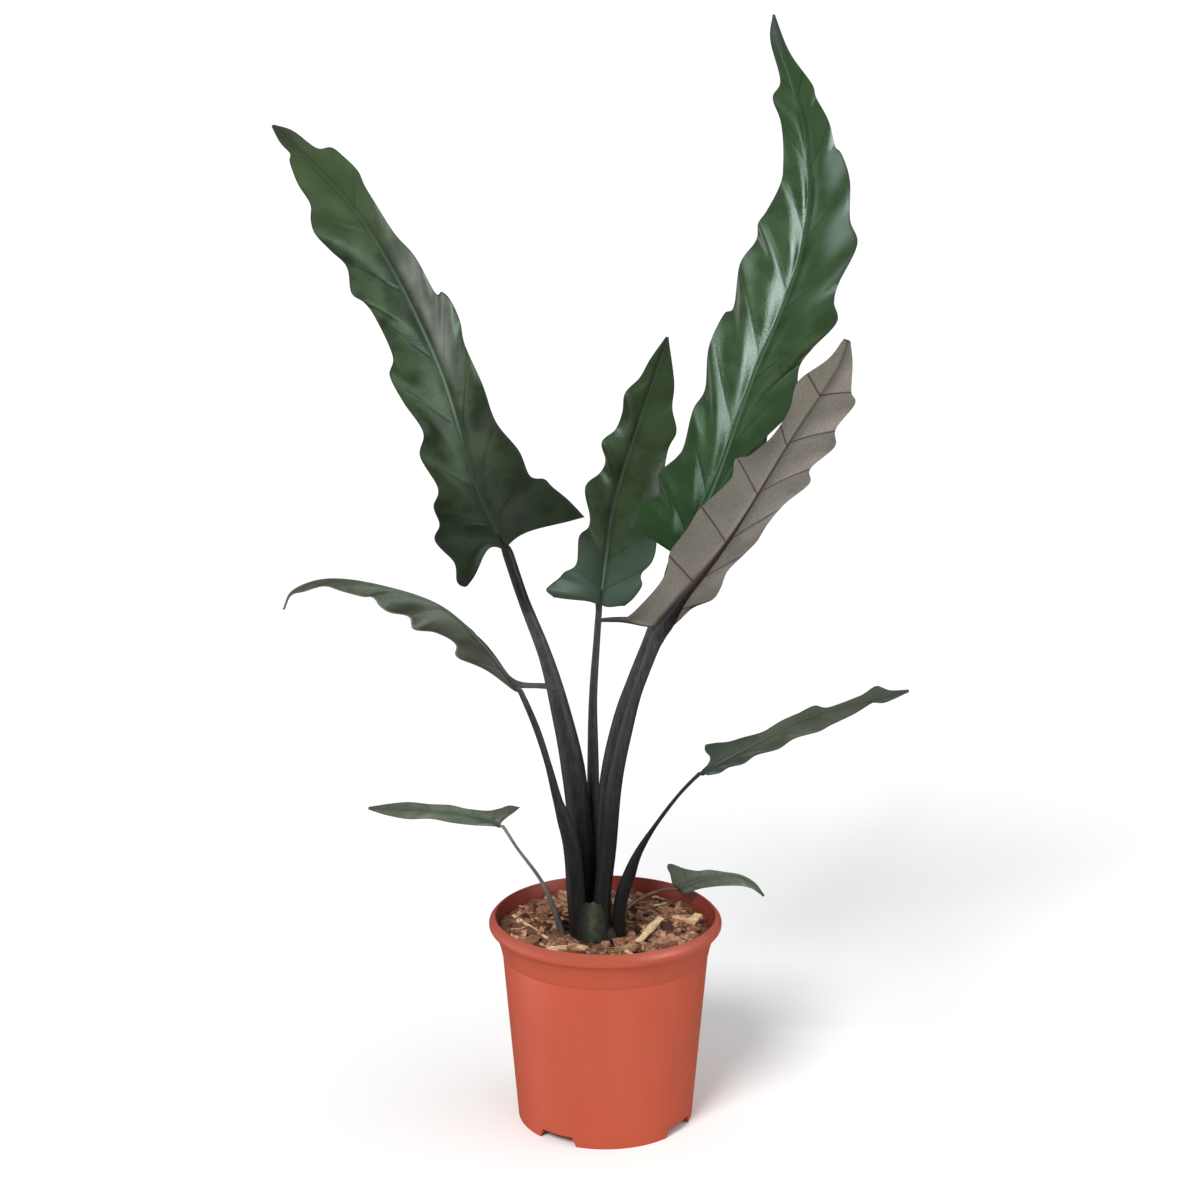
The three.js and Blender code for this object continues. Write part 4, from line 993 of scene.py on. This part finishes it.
def make_pot():
    """Pot turned from its section, with the notches and drain holes cut and its edges softened."""
    bm = bmesh.new()
    ring = [bm.verts.new((r * MM, 0, z * MM)) for r, z in pot_section()]
    line = [bm.edges.new(pair) for pair in zip(ring, ring[1:])]
    bmesh.ops.spin(
        bm, geom=ring + line, axis=(0, 0, 1), cent=(0, 0, 0), steps=160, angle=math.tau, use_merge=True,
    )
    bmesh.ops.remove_doubles(bm, verts=bm.verts, dist=1e-6)
    bmesh.ops.recalc_face_normals(bm, faces=bm.faces)
    pot = finish_piece("nursery_pot", bm, plastic, "pot", 30)

    cutter = notch_cutter()
    notches = pot.modifiers.new("notches", "BOOLEAN")
    notches.operation, notches.solver, notches.object = "DIFFERENCE", "MANIFOLD", cutter
    edges = pot.modifiers.new("moulded_edges", "BEVEL")
    edges.width, edges.segments = 0.25 * MM, 2
    edges.limit_method, edges.angle_limit = "ANGLE", math.radians(35)
    bpy.context.view_layer.update()
    finished = bpy.data.meshes.new_from_object(pot.evaluated_get(bpy.context.evaluated_depsgraph_get()))
    pot.modifiers.clear()
    pot.data = finished
    bpy.data.objects.remove(cutter)


def soil_rise(x, y):
    """Uneven top of the mix: banked up to the rim and to the left, with broad heaps and finer lumps."""
    rim = smoothstep(np.hypot(x, y), 14, 50)
    bank = rim * (SOIL_BANK - SOIL_LEAN * x / LIP_RADIUS)
    heaps = 0.8 * np.sin(x / 11 + 0.6) * np.cos(y / 9 - 0.4)
    lumps = 0.8 * np.sin(x / 3.7 + y / 6.1) * np.sin(y / 4.3 - x / 8.9 + 1.2)
    hollow = 2.4 * np.exp(-((x + 6) ** 2 + (y + 17) ** 2) / 120)
    return bank + heaps + lumps - hollow


def soil_rim_radius(z):
    """Radius of the pot's inside at a height, less the gap to the mix."""
    share = np.clip((z - NECK_HEIGHT) / (FLARE_HEIGHT - NECK_HEIGHT), 0, 1)
    return NECK_RADIUS + (FLARE_RADIUS - NECK_RADIUS) * share - 0.4


def make_soil_bed():
    """Fine, dark coco dust between the chips."""

    def surface(angle, share):
        top = np.minimum(share / 0.85, 1)
        down = np.clip((share - 0.85) / 0.15, 0, 1)
        rim = soil_rim_radius(SOIL_LEVEL + SOIL_BANK)
        reach = rim * top
        x, y = np.cos(angle) * reach, np.sin(angle) * reach
        rough = [noise.fractal(Vector((a / 4, b / 4, 0.5)), 0.6, 2.1, 5) for a, b in zip(x, y)]
        z = SOIL_LEVEL + soil_rise(x, y) - 0.9 + 0.9 * np.array(rough)
        inner = np.minimum(soil_rim_radius(z) / rim, 1)
        shrink = np.where(top < 1, 1 + (inner - 1) * top**8, inner) - 0.06 * down
        return np.column_stack([x * shrink, y * shrink, z - 9 * down])

    bm = tube(70, 220, surface)
    tint = bm.verts.layers.float.new("tint")
    for vert in bm.verts:
        vert[tint] = 0.12 + 0.25 * (0.5 + 0.5 * noise.noise(vert.co / (6 * MM)))
    finish_piece("coco_dust", bm, bark, "potting_mix")


def chip_place(rng, reach):
    """Seeded place on top of the mix, off the crown."""
    while True:
        angle, radius = rng.uniform(0, math.tau), reach * math.sqrt(rng.random())
        x, y = math.cos(angle) * radius, math.sin(angle) * radius
        if math.hypot(x - CROWN_CENTRE[0], y - CROWN_CENTRE[1]) > CROWN_RADIUS + 0.5:
            return x, y, SOIL_LEVEL + float(soil_rise(np.array(x), np.array(y)))


def make_chips():
    """Bark and coco chips, many small and a few big: blocks with jittered corners, bevelled, lying half sunk
    over one another, and darker beside the crown, where shade is painted into their tone."""
    rng = random.Random(11)
    bm = bmesh.new()
    tint = bm.verts.layers.float.new("tint")
    for _ in range(CHIP_COUNT):
        big = rng.random() ** 2
        length, width, height = 3.5 + 9 * big, 2.4 + 5 * big * rng.random(), 1.3 + 3.4 * big * rng.random()
        x, y, z = chip_place(rng, CHIP_RING_RADIUS - length * 0.35)
        roll = Matrix.Rotation(rng.uniform(-0.5, 0.5), 4, "X")
        pitch = Matrix.Rotation(rng.uniform(-0.45, 0.45), 4, "Y")
        turn = Matrix.Rotation(rng.uniform(0, math.tau), 4, "Z") @ (roll @ pitch)
        middle = Matrix.Translation(Vector((x, y, z + 0.5 + 0.9 * rng.random())) * MM)
        size = Matrix.Diagonal((length * MM, width * MM, height * MM, 1))
        block = bmesh.ops.create_cube(bm, size=1, matrix=middle @ turn @ size)
        from_crown = math.hypot(x - CROWN_CENTRE[0], y - CROWN_CENTRE[1]) - CROWN_RADIUS
        # chips beside the crown are darkened: a painted shade at the plant's foot
        tone = min(max(rng.gauss(0.48, 0.22) - 0.4 * math.exp(-from_crown / 5), 0), 1)
        for vert in block["verts"]:
            jitter = [rng.uniform(-0.16, 0.16) * s * MM for s in (length, width, height)]
            vert.co += turn.to_3x3() @ Vector(jitter)
            vert[tint] = tone
    soften_blocks(bm, 0.7)
    finish_piece("bark_chips", bm, bark, "potting_mix", 40)


def strand(bm, points, radius, sides, tint, tone):
    """Thin round fibre along points in mm, added to a bmesh."""
    curve = Curve(points)

    def surface(angle, share):
        place, along = curve.at(share), curve.direction(share)
        one = unit(np.cross(along, UP + 1e-3))
        other = np.cross(along, one)
        reach = radius * (1 - 0.7 * np.abs(2 * share - 1) ** 3)
        return place + one * (np.cos(angle) * reach)[:, None] + other * (np.sin(angle) * reach)[:, None]

    mesh = new_mesh("strand", tube(8, sides, surface))
    known = len(bm.verts)
    bm.from_mesh(mesh)
    bpy.data.meshes.remove(mesh)
    bm.verts.ensure_lookup_table()
    for vert in bm.verts[known:]:
        vert[tint] = tone


def make_fibres():
    """Loose coco fibres that arch between the chips."""
    rng = random.Random(5)
    bm = bmesh.new()
    tint = bm.verts.layers.float.new("tint")
    for _ in range(FIBRE_COUNT):
        x, y, z = chip_place(rng, FIBRE_RING_RADIUS)
        heading, length = rng.uniform(0, math.tau), rng.uniform(6, 16)
        ahead = np.array([math.cos(heading), math.sin(heading), 0]) * length / 2
        sway = np.array([-ahead[1], ahead[0], 0]) * rng.uniform(-0.4, 0.4)
        middle = np.array([x, y, z + 2.4 + rng.random()])
        points = [
            middle - ahead - UP * 1.6, middle - ahead * 0.4 + sway,
            middle + ahead * 0.4 + sway * 0.5, middle + ahead - UP * 1.6,
        ]
        strand(bm, points, rng.uniform(0.12, 0.3), 5, tint, rng.random())
    finish_piece("coco_fibres", bm, coir, "potting_mix")


# Long pale pieces in the mix, each from one end to the other, with its width and thickness, in mm
STRAWS = [
    ((-48.4, 5.7, 107.4), (-29.6, -23.7, 105.6), 1.8, 0.9),
    ((-36, -14, 105.2), (-25, -27, 104.6), 1.3, 0.6),
    ((16.6, -25.1, 104.5), (28.7, 3.8, 106.5), 3.8, 1.3),
    ((45, 0, 105.6), (49, 8, 106.2), 4.2, 2.0),
    ((22, 24, 104.5), (34, 30, 105.4), 1.4, 0.8),
    ((-24, 30, 104.6), (-14, 40, 105.6), 1.8, 0.8),
    ((30, -33, 104.2), (40, -26, 105.0), 2.4, 1.0),
    ((-40, -22, 104.4), (-30, -30, 104.0), 2.0, 0.9),
]


def make_straws():
    """Straw and pale wood splinters, the brightest pieces of the mix."""
    rng = random.Random(3)
    bm = bmesh.new()
    tint = bm.verts.layers.float.new("tint")
    for start, end, width, height in STRAWS:
        start, end = Vector(start), Vector(end)
        ahead = end - start
        turn = ahead.to_track_quat("X", "Z").to_matrix().to_4x4()
        size = Matrix.Diagonal((ahead.length * MM, width * MM, height * MM, 1))
        known = len(bm.verts)
        middle = Matrix.Translation((start + end) / 2 * MM)
        bmesh.ops.create_cube(bm, size=1, matrix=middle @ turn @ size)
        bm.edges.ensure_lookup_table()
        long_edges = [edge for edge in bm.edges[-12:] if edge.calc_length() > ahead.length * MM * 0.9]
        bmesh.ops.subdivide_edges(bm, edges=long_edges, cuts=7, use_grid_fill=True)
        bm.verts.ensure_lookup_table()
        for vert in bm.verts[known:]:
            vert.co += Vector([rng.uniform(-0.14, 0.14) * width * MM for _ in range(3)])
            vert[tint] = rng.uniform(0.3, 1)
    soften_blocks(bm, 0.2)
    finish_piece("straw_splinters", bm, straw, "potting_mix", 40)


for leaf in LEAVES:
    make_blade(leaf)
    make_stalk(leaf)
make_crown()
make_pot()
make_soil_bed()
make_chips()
make_fibres()
make_straws()


# Studio: pale floor, white surroundings, one soft key light from the front left, and the camera

FLOOR_RADIUS = 12000
CAMERA_PLACE = (-2.8, -1066, 514)
CAMERA_PITCH = 12.5
LENS = 64.95
SENSOR = 36
SUN_DIRECTION = (-0.5, -0.95, 1)
SUN_WIDTH = 22
SUN_STRENGTH = 2.8
CAMERA_WHITE = (1.05, 1.05, 1.05, 1)
# Light of the dome at the horizon and overhead, and the dim surround that the gloss mirrors
DOME = (0.16, 0.61)
GLOSS_SURROUND = 0.1
# A lobe of light: direction, half-angles of its core and its fade, colour and brightness. The side fill
# lights the surfaces, and the soft boxes are only mirrored in the gloss
SIDE_FILL = ((0.9, -0.35, 0.2), 20, 70, "#ffffff", 0.95)
SOFT_BOXES = [
    ((0.79, -0.42, 0.45), 10, 23, "#e4f6f6", 23.0),
    ((-0.995, -0.09, 0.04), 10, 38, "#f4f1ff", 5.0),
]


def make_floor():
    """Matt pale sweep that stays out of the gloss."""
    bm = bmesh.new()
    bmesh.ops.create_circle(bm, cap_ends=True, segments=64, radius=FLOOR_RADIUS * MM)
    mesh = new_mesh("studio_floor", bm)
    material, tree, place = blank_material("matt_floor")
    dust = add(tree, "ShaderNodeTexNoise", {"Vector": place, "Scale": 3, "Detail": 2})
    tone = add(
        tree, "ShaderNodeMix",
        {"Factor": dust.outputs["Fac"], "A": linear("#edeeee"), "B": linear("#f0f1f1")}, data_type="RGBA",
    )
    mesh.materials.append(finish_material(material, {
        "Base Color": tone.outputs["Result"], "Roughness": 0.9, "Specular IOR Level": 0,
    }))
    floor = new_object("studio_floor", mesh)
    floor.visible_glossy = False


def make_sun():
    """Soft key light that falls on the surfaces and isn't mirrored in their gloss."""
    sun = bpy.data.lights.new("soft_sun", "SUN")
    sun.angle = math.radians(SUN_WIDTH)
    sun.energy = SUN_STRENGTH
    lamp = new_object("soft_sun", sun)
    lamp.rotation_euler = Vector(SUN_DIRECTION).to_track_quat("Z", "Y").to_euler()
    lamp.visible_glossy = False


def make_world():
    """White surroundings for the eye, a dome that lights the plant from above, and soft boxes for its
    gloss."""
    world = bpy.data.worlds.new("studio")
    world.use_nodes = True
    tree = world.node_tree
    tree.nodes.clear()
    ray = add(tree, "ShaderNodeLightPath").outputs
    direction = add(tree, "ShaderNodeTexCoord").outputs["Generated"]

    def with_lobe(light, axis, core, fade, colour, brightness):
        axis = Vector(axis).normalized()
        facing = add(tree, "ShaderNodeVectorMath", {0: direction, 1: axis}, operation="DOT_PRODUCT")
        edge, middle = math.cos(math.radians(fade)), math.cos(math.radians(core))
        shape = ramps(tree, (facing.outputs["Value"], edge, middle, 0, brightness))
        lobe = add(tree, "ShaderNodeVectorMath", {0: linear(colour)[:3], "Scale": shape}, operation="SCALE")
        return add(tree, "ShaderNodeVectorMath", {0: light, 1: lobe.outputs[0]}, operation="ADD").outputs[0]

    height = add(tree, "ShaderNodeSeparateXYZ", {"Vector": direction})
    ends = {"From Min": 0, "From Max": 1, "To Min": DOME[0], "To Max": DOME[1]}
    dome = add(tree, "ShaderNodeMapRange", {"Value": height.outputs["Z"], **ends})
    light = with_lobe(dome.outputs[0], *SIDE_FILL)
    gloss = (GLOSS_SURROUND,) * 3
    for box in SOFT_BOXES:
        gloss = with_lobe(gloss, *box)
    for kind, colour in (("Is Glossy Ray", gloss), ("Is Camera Ray", CAMERA_WHITE)):
        mixed = add(tree, "ShaderNodeMix", {"Factor": ray[kind], "A": light, "B": colour}, data_type="RGBA")
        light = mixed.outputs["Result"]
    back = add(tree, "ShaderNodeBackground", {"Color": light, "Strength": 1})
    add(tree, "ShaderNodeOutputWorld", {"Surface": back.outputs[0]})
    bpy.context.scene.world = world


def make_camera():
    data = bpy.data.cameras.new("camera")
    data.sensor_width = SENSOR
    data.lens = LENS
    data.dof.use_dof = False
    camera = new_object("camera", data)
    camera.location = Vector(CAMERA_PLACE) * MM
    camera.rotation_euler = (math.radians(90 - CAMERA_PITCH), 0, 0)
    bpy.context.scene.camera = camera


make_floor()
make_world()
make_sun()
make_camera()
bpy.context.scene.view_settings.view_transform = "Standard"
